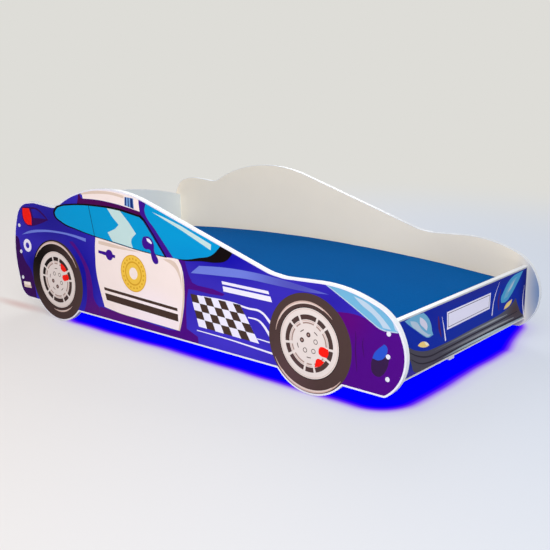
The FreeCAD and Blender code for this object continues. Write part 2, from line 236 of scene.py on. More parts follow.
# %% Group: wood grain, stretched along one direction
FIBRE_SHARE, RING_SHARE = 0.35, 0.8
LIGHT_UP_TO, DARK_FROM = 0.42, 0.74
tree, group_in, group_out = new_group(
    "wood_grain",
    {"Light": "colour", "Dark": "colour", "Stretch": "vector"},
    {"Color": "colour", "Height": "number"},
)
stretched = vectors(tree, "MULTIPLY", places(tree), group_in["Stretch"])
rings = result(tree, "ShaderNodeTexNoise", stretched, Scale=1.0,
               Detail=5.0, Roughness=0.65, Distortion=0.6)
fibres = result(tree, "ShaderNodeTexNoise", stretched, Scale=7.0, Detail=2.0, Roughness=0.5)
mixed = maths(tree, "MULTIPLY_ADD", fibres, FIBRE_SHARE, maths(tree, "MULTIPLY", rings, RING_SHARE))
spread = result(tree, "ShaderNodeMapRange", mixed, From_Min=LIGHT_UP_TO, From_Max=DARK_FROM)
join(tree, group_out["Color"], blend_colours(tree, spread, group_in["Light"], group_in["Dark"]))
join(tree, group_out["Height"], fibres)
WOOD_GRAIN = tree
print("group", tree.name)

# %% Group: the over-and-under of a plain weave, on the piece's own UV map in metres
CLOTH_TONE = 0.82
CHECK_TONE, SLUB_TONE, WEAR_TONE = 0.07, 0.2, 0.16
SLUB_HEIGHT = 0.5
tree, group_in, group_out = new_group(
    "plain_weave",
    {"Color": "colour", "Threads per metre": "number"},
    {"Color": "colour", "Height": "number"},
)
on_cloth = places(tree, "UV")
split = add_node(tree, "ShaderNodeSeparateXYZ", on_cloth).outputs
turns = maths(tree, "MULTIPLY", group_in["Threads per metre"], math.pi)
warp, weft = [maths(tree, "SINE", maths(tree, "MULTIPLY", split[axis], turns)) for axis in (0, 1)]
checks = maths(tree, "MULTIPLY", warp, weft)
slubs = result(tree, "ShaderNodeTexNoise", on_cloth, Scale=90.0, Detail=3.0)
worn = result(tree, "ShaderNodeTexNoise", on_cloth, Scale=5.0, Detail=4.0, Roughness=0.7)
tone = CLOTH_TONE
for pattern, strength in ((checks, CHECK_TONE), (slubs, SLUB_TONE), (worn, WEAR_TONE)):
    tone = maths(tree, "MULTIPLY_ADD", pattern, strength, tone)
join(tree, group_out["Color"], vectors(tree, "SCALE", group_in["Color"], Scale=tone))
join(tree, group_out["Height"], maths(tree, "MULTIPLY_ADD", slubs, SLUB_HEIGHT, checks))
PLAIN_WEAVE = tree
print("group", tree.name)

# %% A material with its shader, and a group placed in it
PEEL_DEPTH = 0.0004
GRAIN_DEPTH, GRAIN_STRENGTH = 0.0005, 0.25
GLOSS_SWING = 0.15


def new_material(name, roughness, **shader_values):
    """A node material, its tree and its Principled shader."""
    material = bpy.data.materials.new(name)
    material.use_nodes = True
    shader = material.node_tree.nodes["Principled BSDF"]
    for key, value in {"Roughness": roughness, **shader_values}.items():
        shader.inputs[key.replace("_", " ")].default_value = value
    return material, material.node_tree, shader


def place_group(tree, group, **values):
    """The outputs of the group, placed as a node in tree with its own values."""
    return add_node(tree, "ShaderNodeGroup", node_tree=group, **values).outputs


def add_bump(tree, shader, height, strength, distance):
    """A Bump node from a height to the shader's normal. Strength and distance stay on its own sockets."""
    bump = result(tree, "ShaderNodeBump", Strength=strength, Distance=distance, Height=height)
    join(tree, shader.inputs["Normal"], bump)


def make_uneven(tree, shader, colour, roughness, scale, amount, bump, bump_scale):
    """Joins a colour to the shader with a little unevenness in its tone, its gloss and its surface."""
    tone = place_group(tree, FINE_VARIATION, Color=colour, Scale=scale, Amount=amount)
    join(tree, shader.inputs["Base Color"], tone["Color"])
    gloss = result(tree, "ShaderNodeMapRange", tone["Mask"], To_Min=roughness * (1 - GLOSS_SWING),
                   To_Max=roughness * (1 + GLOSS_SWING))
    join(tree, shader.inputs["Roughness"], gloss)
    peel = place_group(tree, FINE_VARIATION, Scale=bump_scale)
    add_bump(tree, shader, peel["Mask"], bump, PEEL_DEPTH)


def varied_material(name, colour, roughness, scale, amount, bump, bump_scale=900.0, **shader_values):
    """A finish of one screen colour, slightly uneven."""
    material, tree, shader = new_material(name, roughness, **shader_values)
    make_uneven(tree, shader, screen_colour(*colour), roughness, scale, amount, bump, bump_scale)
    return material


def wood_material(name, light, dark, stretch, roughness):
    """Wood with its grain along the direction where stretch is smallest."""
    material, tree, shader = new_material(name, roughness)
    colours = {"Light": screen_colour(*light), "Dark": screen_colour(*dark)}
    grain = place_group(tree, WOOD_GRAIN, Stretch=stretch, **colours)
    join(tree, shader.inputs["Base Color"], grain["Color"])
    add_bump(tree, shader, grain["Height"], GRAIN_STRENGTH, GRAIN_DEPTH)
    return material


# %% A finish with slow changes of tone
def soft_spot(tree, centre, size):
    """A mask that is 1 at centre and fades to 0 at size along each axis, in metres."""
    moved = result(tree, "ShaderNodeMapping", places(tree), vector_type="TEXTURE",
                   Location=centre, Scale=size)
    ball = add_node(tree, "ShaderNodeTexGradient", moved, gradient_type="SPHERICAL").outputs[1]
    return result(tree, "ShaderNodeMapRange", ball, interpolation_type="SMOOTHSTEP")


def spotted_material(name, colour, spots, roughness, gloss):
    """A finish that turns to other colours at soft spots. Each spot is (colour, centre, size)."""
    material, tree, shader = new_material(name, roughness, Specular_IOR_Level=gloss)
    tone = screen_colour(*colour)
    for spot_colour, centre, size in spots:
        tone = blend_colours(tree, soft_spot(tree, centre, size), tone, screen_colour(*spot_colour))
    make_uneven(tree, shader, tone, roughness, scale=9.0, amount=0.05, bump=0.04, bump_scale=500.0)
    return material


print("spotted finishes turn slowly from one colour to another")

# %% [markdown]
# ## Finishes of the construction pieces
#
# The boards are chipboard with a white melamine face. Its tone here is painted light: warm inside the bed, a
# little cooler on the rear board, painted shade that makes the outer faces cooler and darker and the boards
# darker towards the front, and a painted blue glow that makes the front end bluish. Their edges carry a
# glossier white plastic band.
# The rails are planed pine, the slats lacquered birch, the dowels beech. Screws are zinc plated. Each node
# that shows is given its finish by its name.

# %% Finishes for boards, woods, metals and plastics
ALL_THROUGH = 4.0
OUTER_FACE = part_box("left_side_panel")[1].y
# Painted light: this warm white and the rear board's cool white are one melamine, tinted for how light falls
# on each.
board_warm = spotted_material("board_warm_white", (244, 234, 216), [
    # Painted shade: the boards turn darker towards the front end.
    ((224, 214, 198), (0.62, 0, 0.22), (0.42, ALL_THROUGH, 0.26)),
    # Painted light: a blue tint from the glow lies on the boards' front end.
    ((92, 122, 164), (0.87, 0, 0.20), (0.115, ALL_THROUGH, 0.34)),
    # Painted shade: the outer faces are a darker, cooler white than the rest of the board.
    ((224, 221, 233), (0, -OUTER_FACE, 0.20), (ALL_THROUGH, 0.009, ALL_THROUGH)),
    ((224, 221, 233), (0, OUTER_FACE, 0.20), (ALL_THROUGH, 0.009, ALL_THROUGH)),
], 0.42, 0.35)
# after the colour: roughness, the unevenness's scale and amount, and how strong the surface's bumps are
# Painted light: the rear board's cooler white stands in for the light that falls on it.
board_cool = varied_material("board_cool_white", (226, 232, 229), 0.42, 3.0, 0.04, 0.12)
edge_white = varied_material("edge_band_white", (221, 224, 228), 0.30, 30.0, 0.03, 0.05)
pine = wood_material("planed_pine", (224, 190, 140), (178, 128, 78), (2.5, 60.0, 60.0), 0.55)
birch = wood_material("bent_birch", (226, 200, 158), (192, 156, 108), (70.0, 3.0, 70.0), 0.40)
beech = wood_material("turned_beech", (214, 170, 124), (172, 122, 82), (4.0, 90.0, 90.0), 0.5)
zinc = varied_material("bright_zinc", (205, 207, 210), 0.28, 400.0, 0.12, 0.1, Metallic=1.0)
black_plastic = varied_material("black_plastic", (38, 38, 40), 0.5, 60.0, 0.12, 0.25)
white_plastic = varied_material("white_plastic", (214, 212, 226), 0.40, 60.0, 0.03, 0.08)
nylon = varied_material("pale_nylon", (226, 223, 214), 0.45, 80.0, 0.06, 0.15)
print("finishes", len(bpy.data.materials))

# %% [markdown]
# ## The light strips
#
# A light strip is a row of tiny lamps under a frosted silicone sleeve. The sleeve glows blue all along and
# is brighter over each lamp. A wave along the strip, sharpened to short peaks, gives that rhythm.


# %% Lit sleeve with its row of lamps
LAMPS_PER_METRE = 60
PEAK_POWER = 4.0


def light_strip_material(name, axis):
    """A blue sleeve, brighter over each lamp. axis 0 runs along the bed and 1 across it."""
    material, tree, shader = new_material(name, 0.5, Emission_Strength=2.0)
    along = add_node(tree, "ShaderNodeSeparateXYZ", places(tree)).outputs[axis]
    wave = maths(tree, "SINE", maths(tree, "MULTIPLY", along, 2 * math.pi * LAMPS_PER_METRE))
    peak = maths(tree, "POWER", maths(tree, "MULTIPLY_ADD", wave, 0.5, 0.5), PEAK_POWER)
    lit = blend_colours(tree, peak, screen_colour(20, 20, 255), screen_colour(120, 130, 255))
    join(tree, shader.inputs["Emission Color"], lit)
    join(tree, shader.inputs["Base Color"], lit)
    return material


def dress(material, *names):
    """Gives CAD nodes their finish."""
    for name in names:
        paint(NODES[name], material)


strip_along = light_strip_material("light_strip_along", 0)
strip_across = light_strip_material("light_strip_across", 1)
dress(board_warm, "right_side_panel", "left_side_panel", "front_panel")
dress(board_cool, "rear_panel")
dress(edge_white, "right_edge_band", "left_edge_band", "front_edge_bands", "rear_edge_bands")
dress(pine, "right_rail", "left_rail")
dress(birch, *[name for name in NODES if name.startswith("slat_")])
dress(beech, "corner_dowels")
dress(zinc, "corner_screws", "rail_screws")
dress(black_plastic, "right_slat_holders", "left_slat_holders", "light_controller")
dress(white_plastic, "light_receiver")
dress(nylon, "floor_glides")
dress(strip_along, "right_light_strip", "left_light_strip")
dress(strip_across, "front_light_strip")
print("dressed", sum(1 for node in NODES.values() if node.data.materials))

# %% [markdown]
# ## The printed film: how the picture is made
#
# On the real bed the picture is printed on a thin film. Painting it as an image would be the usual way.
# Here each coloured area is cut as its own very thin sheet and laid on the one below, as a sign maker
# layers vinyl. That keeps every edge sharp from any distance, and each ink gets its own finish.
#
# An outline is a flat curve through a few points. A point marked ROUND is passed smoothly, the others are
# corners. The filled curve is made a mesh, laid against the board, and trimmed to the film's own outline.

# %% A coloured area as a thin sheet
ROUND = "round"
SHEET = 0.04 * MM
FILM_BASE = 0.18 * MM
MERGE_WITHIN = 0.001 * MM
CUTTER_REACH = 5 * MM
SIDE_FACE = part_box("right_side_panel")[0].y
FRONT_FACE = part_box("front_panel")[1].x
LAY_ON_SIDE = Matrix.Translation((0, SIDE_FACE, 0)) @ Matrix.Rotation(math.pi / 2, 4, "X")
LAY_ON_FRONT = (
    Matrix.Translation((FRONT_FACE, 0, 0))
    @ Matrix.Rotation(math.pi / 2, 4, "Z")
    @ Matrix.Rotation(math.pi / 2, 4, "X")
)


def cut_sheet(name, outlines, material, level, lay=LAY_ON_SIDE):
    """Filled outlines as one thin sheet at that level of the stack. An outline inside another is a hole."""
    curve = bpy.data.curves.new(name, "CURVE")
    curve.dimensions = "2D"
    curve.fill_mode = "BOTH"
    curve.extrude = SHEET / 2
    curve.resolution_u = 8
    for outline in outlines:
        spline = curve.splines.new("BEZIER")
        spline.bezier_points.add(len(outline) - 1)
        spline.use_cyclic_u = True
        for knot, point in zip(spline.bezier_points, outline):
            knot.co = (point[0] * MM, point[1] * MM, 0)
            handle = "AUTO" if len(point) > 2 else "VECTOR"
            knot.handle_left_type = knot.handle_right_type = handle
    sheet = bpy.data.objects.new(name, curve)
    bpy.context.scene.collection.objects.link(sheet)
    only(sheet)
    bpy.ops.object.convert(target="MESH")
    sheet = bpy.context.object
    sheet.matrix_world = lay @ Matrix.Translation((0, 0, FILM_BASE + (level - 0.5) * SHEET))
    bpy.ops.object.transform_apply(location=True, rotation=True, scale=True)
    with edit_mode(sheet):
        bpy.ops.mesh.remove_doubles(threshold=MERGE_WITHIN)
        bpy.ops.mesh.normals_make_consistent(inside=False)
    paint(sheet, material)
    return sheet


def arc(centre, radius, start, end, steps=24):
    """Points along an arc. Angles in degrees, anticlockwise from +X."""
    points = []
    for step in range(steps + 1):
        angle = math.radians(start + (end - start) * step / steps)
        points.append((centre[0] + radius * math.cos(angle), centre[1] + radius * math.sin(angle)))
    return points


def circle(centre, radius, steps=64):
    """Points of a whole circle, without its first one twice."""
    return arc(centre, radius, 0, 360, steps)[:-1]


def ring_piece(centre, inner, outer, start, end, steps=12):
    """The outline of a piece of a ring between two radii and two angles."""
    return arc(centre, outer, start, end, steps) + arc(centre, inner, end, start, steps)


def band(points, widths):
    """The outline of a stripe along points, half of its width to each side, for tapered strokes."""
    left, right = [], []
    for index, (point, width) in enumerate(zip(points, widths)):
        before = Vector(points[max(index - 1, 0)][:2])
        after = Vector(points[min(index + 1, len(points) - 1)][:2])
        along = (after - before).normalized()
        across = Vector((-along.y, along.x)) * width / 2
        here = Vector(point[:2])
        marks = (ROUND,) if 0 < index < len(points) - 1 else ()
        left.append((*(here + across), *marks))
        right.append((*(here - across), *marks))
    return left + right[::-1]


print("side film lies at y", round(SIDE_FACE, 4), "front film at x", round(FRONT_FACE, 4))


# %% The film's own sheet and the cutter that trims the areas to it
def copy_of_node(name, copy_name):
    """A free copy of a CAD node's mesh, merged, with nothing of it selected."""
    copy = bpy.data.objects.new(copy_name, NODES[name].data.copy())
    bpy.context.scene.collection.objects.link(copy)
    with edit_mode(copy):
        bpy.ops.mesh.remove_doubles(threshold=MERGE_WITHIN)
        bpy.ops.mesh.select_all(action="DESELECT")
    return copy


def move_face(piece, axis, side, level, distance):
    """Moves the points beyond level, on its upper (1) or lower (-1) side, by distance along the axis."""
    only(piece)
    for vertex in piece.data.vertices:
        vertex.select = side * (vertex.co[axis] - level) > 0
    bpy.ops.object.mode_set(mode="EDIT")
    bpy.ops.transform.translate(value=[distance if index == axis else 0 for index in range(3)])
    bpy.ops.object.mode_set(mode="OBJECT")


def film_and_cutter(node, face, axis, outward):
    """The thin base sheet, made from the film's solid, and a thick slab of the same outline."""
    film_thickness = abs(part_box(node)[1 if outward > 0 else 0][axis] - face)
    middle = face + outward * film_thickness / 2
    base, cutter = copy_of_node(node, node + "_base"), copy_of_node(node, node + "_cutter")
    move_face(base, axis, outward, middle, outward * (FILM_BASE - film_thickness))
    for side in (outward, -outward):
        move_face(cutter, axis, side, middle, side * CUTTER_REACH)
    return base, cutter


def trim(piece, cutter):
    """Cuts the piece to the cutter's outline."""
    modifier = piece.modifiers.new("trim", "BOOLEAN")
    modifier.operation = "INTERSECT"
    modifier.solver = "EXACT"
    modifier.object = cutter
    only(piece)
    bpy.ops.object.modifier_apply(modifier="trim")
    return piece


side_base, side_cutter = film_and_cutter("right_print", SIDE_FACE, 1, -1)
front_base, front_cutter = film_and_cutter("front_print", FRONT_FACE, 0, 1)
print("base sheets", len(side_base.data.polygons), len(front_base.data.polygons), "faces")


# %% [markdown]
# ## Inks
#
# The film has a soft sheen and its inks are strong. A few have slow changes of tone: the blue body deepens
# behind the rear wheel, the tyres are blacker at the back, and the bumper's grey runs through light and
# dark bands. A Mapping node puts such a soft spot in its place, and a spherical gradient fades it.

# %% Ink finishes
INK_ROUGHNESS = 0.50
INK_GLOSS = 0.04


def ink(name, *colour):
    """A printed ink of one colour."""
    return varied_material("ink_" + name, colour, INK_ROUGHNESS, scale=9.0, amount=0.06,
                           bump=0.04, bump_scale=500.0, Specular_IOR_Level=INK_GLOSS)


def spotted_ink(name, colour, spots):
    """A printed ink with soft spots of other colours."""
    return spotted_material("ink_" + name, colour, spots, INK_ROUGHNESS, INK_GLOSS)


body_blue = spotted_ink("body_blue", (52, 40, 172), [
    ((30, 23, 136), (-0.62, 0, 0.37), (0.34, ALL_THROUGH, 0.16)),
    ((10, 6, 146), (-0.46, 0, 0.20), (0.17, ALL_THROUGH, 0.22)),
    ((18, 10, 130), (-0.74, 0, 0.19), (0.14, ALL_THROUGH, 0.10)),
    ((16, 8, 160), (0.22, 0, 0.36), (0.30, ALL_THROUGH, 0.11)),
    ((62, 48, 190), (0.22, 0, 0.09), (0.30, ALL_THROUGH, 0.09)),
    ((40, 28, 156), (0.62, 0, 0.29), (0.16, ALL_THROUGH, 0.07)),
])
front_blue = spotted_ink("front_blue", (2, 38, 156), [
    ((24, 34, 142), (0.8, 0.05, 0.26), (ALL_THROUGH, 0.50, 0.04)),
    ((2, 10, 100), (0.8, 0.42, 0.20), (ALL_THROUGH, 0.09, 0.20)),
    ((60, 48, 150), (0.8, -0.30, 0.085), (ALL_THROUGH, 0.20, 0.045)),
    ((8, 30, 150), (0.8, -0.20, 0.24), (ALL_THROUGH, 0.10, 0.08)),
])
deep_purple = spotted_ink("deep_purple", (73, 5, 122), [
    ((86, 2, 112), (0.66, 0, 0.25), (0.12, ALL_THROUGH, 0.09)),
    ((82, 18, 112), (-0.30, 0, 0.08), (0.30, ALL_THROUGH, 0.05)),
    ((58, 8, 130), (0.06, 0, 0.29), (0.10, ALL_THROUGH, 0.07)),
])
dark_plum = ink("dark_plum", 50, 3, 82)
nose_crease = ink("nose_crease", 62, 10, 90)
roof_plum = ink("roof_plum", 70, 2, 76)
black = ink("black", 14, 5, 7)
tyre_brown = spotted_ink("tyre", (72, 54, 52), [
    ((4, 0, 0), (-0.71, 0, 0.23), (0.28, ALL_THROUGH, 0.26)),
    ((84, 60, 64), (0.46, 0, 0.04), (0.14, ALL_THROUGH, 0.14)),
])
glass_blue = spotted_ink("window", (0, 145, 202), [
    ((0, 138, 200), (0.10, 0, 0.33), (0.2, ALL_THROUGH, 0.08)),
])
glass_light = ink("window_light", 186, 212, 212)
door_white = spotted_ink("door_white", (236, 220, 216), [
    ((238, 224, 232), (-0.1, 0, 0.12), (0.25, ALL_THROUGH, 0.12)),
])
door_shade = ink("door_shade", 212, 190, 176)
rim_white = ink("rim", 216, 204, 200)
rim_line = ink("rim_line", 196, 166, 156)
rim_shine = ink("rim_shine", 214, 194, 188)
ring_brown = ink("ring_brown", 156, 130, 122)
bolt_dark = ink("bolt_dark", 68, 40, 42)
caliper_red = ink("red", 234, 26, 16)
chequer_dark = ink("chequer_dark", 66, 48, 42)
trim_white = ink("trim_white", 226, 222, 240)
highlight = spotted_ink("highlight", (104, 118, 206), [
    ((74, 72, 170), (0.50, 0, 0.31), (0.24, ALL_THROUGH, 0.10)),
])
headlight_blue = ink("headlight", 106, 166, 200)
headlight_light = ink("headlight_light", 174, 192, 210)
headlight_deep = ink("headlight_deep", 70, 154, 200)
headlight_glint = ink("headlight_glint", 206, 204, 222)
fog_blue = ink("fog_light", 38, 76, 188)
marker_blue = ink("marker", 112, 152, 204)
marker_dark = ink("marker_dark", 22, 44, 112)
fog_shadow = ink("fog_shadow", 50, 26, 66)
handle_purple = ink("handle", 58, 14, 136)
gold = ink("gold", 230, 186, 68)
gold_dark = ink("gold_dark", 206, 152, 40)
amber = ink("amber", 234, 202, 122)
amber_light = ink("amber_light", 238, 228, 200)
crease_red = ink("crease_red", 72, 26, 92)
bumper_grey = spotted_ink("bumper_grey", (72, 68, 80), [
    ((88, 90, 104), (0.8, 0.10, 0.12), (ALL_THROUGH, 0.34, 0.09)),
    ((70, 56, 60), (0.8, 0.33, 0.13), (ALL_THROUGH, 0.10, 0.05)),
])
bumper_line = ink("bumper_line", 44, 38, 50)
bumper_light = spotted_ink("bumper_light", (88, 86, 96), [
    ((150, 152, 156), (0.8, 0.16, 0.12), (ALL_THROUGH, 0.36, 0.09)),
])
bumper_pale = spotted_ink("bumper_pale", (96, 98, 110), [
    ((176, 196, 204), (0.8, 0.16, 0.09), (ALL_THROUGH, 0.42, 0.09)),
])
print("inks", sum(1 for material in bpy.data.materials if material.name.startswith("ink_")))

# %% [markdown]
# ## A wheel in the picture
#
# The wheel is a tyre with a pale rim, ten spokes in five pairs, a brake behind them and a ring of bolts. It
# is cut once as a list of thin sheets round a centre, so the front and the rear wheel are the same work
# with another turn of the spokes. The tyres carry two pale arcs of light.

# %% Parts of a wheel
TYRE_RADIUS = 146.5
RIM_RADIUS = 105.5
OPENING_INNER, OPENING_OUTER = 70.0, 84.5
BOLT_CIRCLE, BOLT_RADIUS = 25.5, 7.4
SLIT_CIRCLE, SLIT_HALF_WIDTH, SLIT_HALF_ANGLE = 41.5, 1.3, 10
PAIR_STEP = 72
PAIR_HALF_ANGLE = 13
ARC_STEPS = 14
ARC_TIP = 0.04
SHINE_SHIFT, SHINE_SHARE = 0.2, 0.45
AT_EDGE = "trimmed to the film"
RIGHT_GROUPS = {}


def keep(group, *sheets):
    """Puts finished sheets in a named group that becomes one piece."""
    RIGHT_GROUPS.setdefault(group, []).extend(sheets)


def cut_areas(group, areas):
    """Cuts rows of (name, outlines, ink, level) for a group. A fifth value, AT_EDGE, trims to the film."""
    for name, outlines, material, level, *edge in areas:
        sheet = cut_sheet(name, outlines, material, level)
        keep(group, trim(sheet, side_cutter) if edge else sheet)


def between_spokes(centre, turn, inner, outer, margin):
    """Ten pieces of a ring, one between each two spokes. margin is half of a spoke's angle."""
    pieces = []
    for pair in range(5):
        middle = turn + pair * PAIR_STEP
        near, far = PAIR_HALF_ANGLE - margin, PAIR_HALF_ANGLE + margin
        pieces.append(ring_piece(centre, inner, outer, middle - near, middle + near, 5))
        pieces.append(ring_piece(centre, inner, outer, middle + far, middle + PAIR_STEP - far, 9))
    return pieces


def cut_light_arcs(name, centre, arcs):
    """Pale arcs on a tyre, thickest in the middle. Each is (radius at start, at end, width, start, end)."""
    sheets = []
    for number, (first, last, width, start, end) in enumerate(arcs):
        shares = [step / ARC_STEPS for step in range(ARC_STEPS + 1)]
        turns = [start + (end - start) * share for share in shares]
        radii = [first + (last - first) * share for share in shares]
        stroke = [arc(centre, radius, turn, turn, 1)[0] for radius, turn in zip(radii, turns)]
        thickness = [width * math.sin(math.pi * (ARC_TIP + (1 - 2 * ARC_TIP) * share)) for share in shares]
        sheets.append(cut_sheet(f"{name}_light_{number}", [band(stroke, thickness)], rim_line, 4))
        inside = [arc(centre, radius - width * SHINE_SHIFT, turn, turn, 1)[0]
                  for radius, turn in zip(radii, turns)][2:-2]
        thin = [share * SHINE_SHARE for share in thickness[2:-2]]
        sheets.append(cut_sheet(f"{name}_shine_{number}", [band(inside, thin)], rim_shine, 5))
    return sheets


print("a wheel's openings reach from", OPENING_INNER, "to", OPENING_OUTER, "mm")


# %% Cut the front and the rear wheel
def cut_wheel(name, centre, spoke_turn, bolt_turn, slit_turn, brake, arcs):
    """A wheel's sheets. The turns set the first spokes, bolt and slit; brake holds the red outlines."""
    bolt_places = [arc(centre, BOLT_CIRCLE, bolt_turn + PAIR_STEP * bolt, bolt_turn, 1)[0]
                   for bolt in range(5)]
    slit_turns = [slit_turn + PAIR_STEP * slit for slit in range(5)]
    slits = [ring_piece(centre, SLIT_CIRCLE - SLIT_HALF_WIDTH, SLIT_CIRCLE + SLIT_HALF_WIDTH,
                        turn - SLIT_HALF_ANGLE, turn + SLIT_HALF_ANGLE, 3) for turn in slit_turns]
    outlined = []
    for place in bolt_places[2:]:
        outlined += [circle(place, BOLT_RADIUS, 24), circle(place, BOLT_RADIUS - 2.0, 24)]
    brake_outlines = [[(centre[0] + point[0], centre[1] + point[1], *point[2:]) for point in outline]
                      for outline in brake]
    layers = [
        ("tyre", [circle(centre, TYRE_RADIUS, 96)], tyre_brown, 3),
        ("edge", [circle(centre, RIM_RADIUS)], black, 4),
        ("rim", [circle(centre, RIM_RADIUS - 1.8)], rim_white, 5),
        ("rim_line", [circle(centre, 101.0), circle(centre, 99.6)], rim_line, 6),
        ("openings", between_spokes(centre, spoke_turn, OPENING_INNER, OPENING_OUTER, 2.6), tyre_brown, 6),
        ("thin_ring", between_spokes(centre, spoke_turn, 65.4, 67.6, 3.6), rim_line, 6),
        ("wide_ring", between_spokes(centre, spoke_turn, 58.4, 62.8, 4.4), ring_brown, 6),
        ("brake", brake_outlines, caliper_red, 7),
        ("bolts", outlined + slits, chequer_dark, 6),
        ("dark_bolts", [circle(place, BOLT_RADIUS, 24) for place in bolt_places[:2]], bolt_dark, 6),
        ("bolt_faces", [circle(place, BOLT_RADIUS - 4.0, 20) for place in bolt_places[:2]], ring_brown, 7),
    ]
    sheets = [cut_sheet(f"{name}_{part}", outlines, material, level)
              for part, outlines, material, level in layers]
    return sheets + cut_light_arcs(name, centre, arcs)


FRONT_WHEEL = (542.8, 153.5)
REAR_WHEEL = (-608.7, 153.5)
front_brake = [
    [(35, -8), (42, -1, ROUND), (68, -4), (69, -16, ROUND), (63, -30), (36, -23, ROUND)],
    [(25, -44), (31, -38, ROUND), (55, -43), (40, -58, ROUND), (21, -66)],
]
rear_brake = [
    [(25, 65), (41, 60, ROUND), (52, 51, ROUND), (58, 40), (38, 36, ROUND), (25, 44)],
    [(32, 17, ROUND), (38, 23), (62, 30), (68, 20, ROUND), (67, 9), (43, 1), (34, 7, ROUND)],
]
front_arcs = [(122.0, 117.5, 8.5, 172, 47), (140.0, 141.0, 9.0, 208, 322)]
rear_arcs = [(140.0, 131.0, 9.5, 152, 28), (117.0, 117.0, 6.0, 255, 312)]
keep("front_wheel", *cut_wheel("front_wheel", FRONT_WHEEL, 56, 94, 126, front_brake, front_arcs))
keep("rear_wheel", *cut_wheel("rear_wheel", REAR_WHEEL, 19, 197, 95, rear_brake, rear_arcs))
print("wheel sheets", len(RIGHT_GROUPS["front_wheel"]))

# %% [markdown]
# ## The car's body in the picture
#
# The body is a blue-violet field with purple shadow under the nose, round the door and along the sill.
# Lighter strokes follow the fenders. The glass is one bright blue with a darker frame and pale reflections.

# %% Shadows and strokes on the body
nose_shadow = [(640, 265), (700, 268, ROUND), (740, 262), (880, 236), (900, 40), (520, 40), (560, 120)]
door_shadow = [
    (-375, 40), (-375, 96), (-30, 80), (6, 84), (34, 120, ROUND), (42, 268, ROUND), (24, 323), (54, 322),
    (66, 286, ROUND), (84, 256), (108, 250), (172, 250), (222, 242), (212, 235), (160, 232), (104, 234),
    (66, 232), (56, 188, ROUND), (54, 100), (103, 83), (109, 40),
]
wheel_shadow = [
    (-526, 306), (-506, 309), (-484, 292, ROUND), (-446, 253, ROUND), (-420, 212, ROUND), (-409, 165, ROUND),
    (-402, 115, ROUND), (-376, 90), (-376, 40), (-470, 40), (-462, 62, ROUND), (-448, 92, ROUND),
    (-441, 130, ROUND), (-440, 168, ROUND), (-443, 209, ROUND), (-462, 247, ROUND), (-488, 276, ROUND),
]
tail_shadow = [
    (-870, 284), (-838, 284, ROUND), (-822, 240, ROUND), (-800, 196, ROUND), (-766, 164, ROUND),
    (-752, 120, ROUND), (-742, 60), (-742, 30), (-870, 30),
]
cut_areas("body_shadows", [
    ("nose_shadow", [nose_shadow], deep_purple, 1, AT_EDGE),
    ("door_shadow", [door_shadow], deep_purple, 1, AT_EDGE),
    ("wheel_shadow", [wheel_shadow], deep_purple, 1, AT_EDGE),
    ("tail_shadow", [tail_shadow], dark_plum, 1, AT_EDGE),
])
tail_stroke = [
    (-808, 296), (-764, 314, ROUND), (-692, 328, ROUND), (-589, 335, ROUND), (-502, 334, ROUND), (-431, 329),
    (-432, 317), (-503, 326, ROUND), (-590, 328, ROUND), (-693, 319, ROUND),
]
fender_light = [
    (79, 286), (116, 314), (214, 324, ROUND), (325, 328, ROUND), (438, 324, ROUND), (520, 317, ROUND),
    (610, 308), (547, 303, ROUND), (418, 303, ROUND), (320, 304, ROUND), (213, 297, ROUND),
]
cut_areas("body_lights", [
    ("tail_stroke", [tail_stroke], highlight, 1, AT_EDGE),
    ("fender_light", [fender_light], highlight, 1, AT_EDGE),
])
nose_creases = [
    band([(700, 222), (702, 200), (701, 169), (704, 140), (707, 108)], [1, 3, 4, 4, 1]),
    band([(726, 208), (724, 190), (726, 175), (730, 154)], [1, 3, 3, 1]),
]
cut_areas("nose_creases", [("nose_crease_lines", nose_creases, nose_crease, 2)])
print("body groups", [group for group in RIGHT_GROUPS if "wheel" not in group])

# %% Lamps, reflectors and the fog lamp
tail_lens_frame = [
    (-797, 401), (-753, 405), (-706, 405, ROUND), (-668, 389, ROUND), (-640, 369), (-690, 350, ROUND),
    (-743, 334), (-773, 335, ROUND), (-793, 350, ROUND), (-800, 376, ROUND),
]
tail_lens_body = [(-740, 400), (-706, 399, ROUND), (-674, 384, ROUND), (-652, 372), (-731, 367)]
tail_lens_dark = [(-734, 364), (-652, 369), (-689, 354, ROUND), (-738, 341)]
tail_lamp = [
    (-793, 397), (-753, 400), (-742, 372, ROUND), (-743, 339), (-773, 340, ROUND), (-789, 353, ROUND),
    (-795, 376, ROUND),
]
headlamp = [
    (602, 334), (640, 352), (760, 352), (860, 300), (860, 243), (812, 244), (782, 243), (749, 258, ROUND),
    (714, 278, ROUND), (683, 294, ROUND), (640, 315, ROUND),
]
headlamp_ray = [
    (692, 318), (731, 308, ROUND), (769, 286, ROUND), (797, 263, ROUND), (812, 248), (787, 248),
    (776, 261, ROUND), (752, 280, ROUND), (722, 296, ROUND),
]
headlamp_brow = [
    (655, 334), (712, 331, ROUND), (770, 313, ROUND), (804, 291, ROUND), (824, 250), (832, 246),
    (822, 300, ROUND), (780, 330, ROUND), (712, 342, ROUND),
]
headlamp_edge = band([(597, 336), (640, 315), (683, 293), (714, 277), (749, 258), (782, 243), (832, 244)],
                     [2, 3, 3, 3, 3, 3, 3])
fog_hollow = [
    (752, 143), (757, 157, ROUND), (780, 168, ROUND), (808, 182), (808, 163, ROUND), (797, 128, ROUND),
    (776, 110, ROUND), (757, 118, ROUND),
]
fog_lens = [
    (756, 158), (763, 175, ROUND), (792, 204), (801, 198, ROUND), (797, 172, ROUND), (776, 156, ROUND),
]
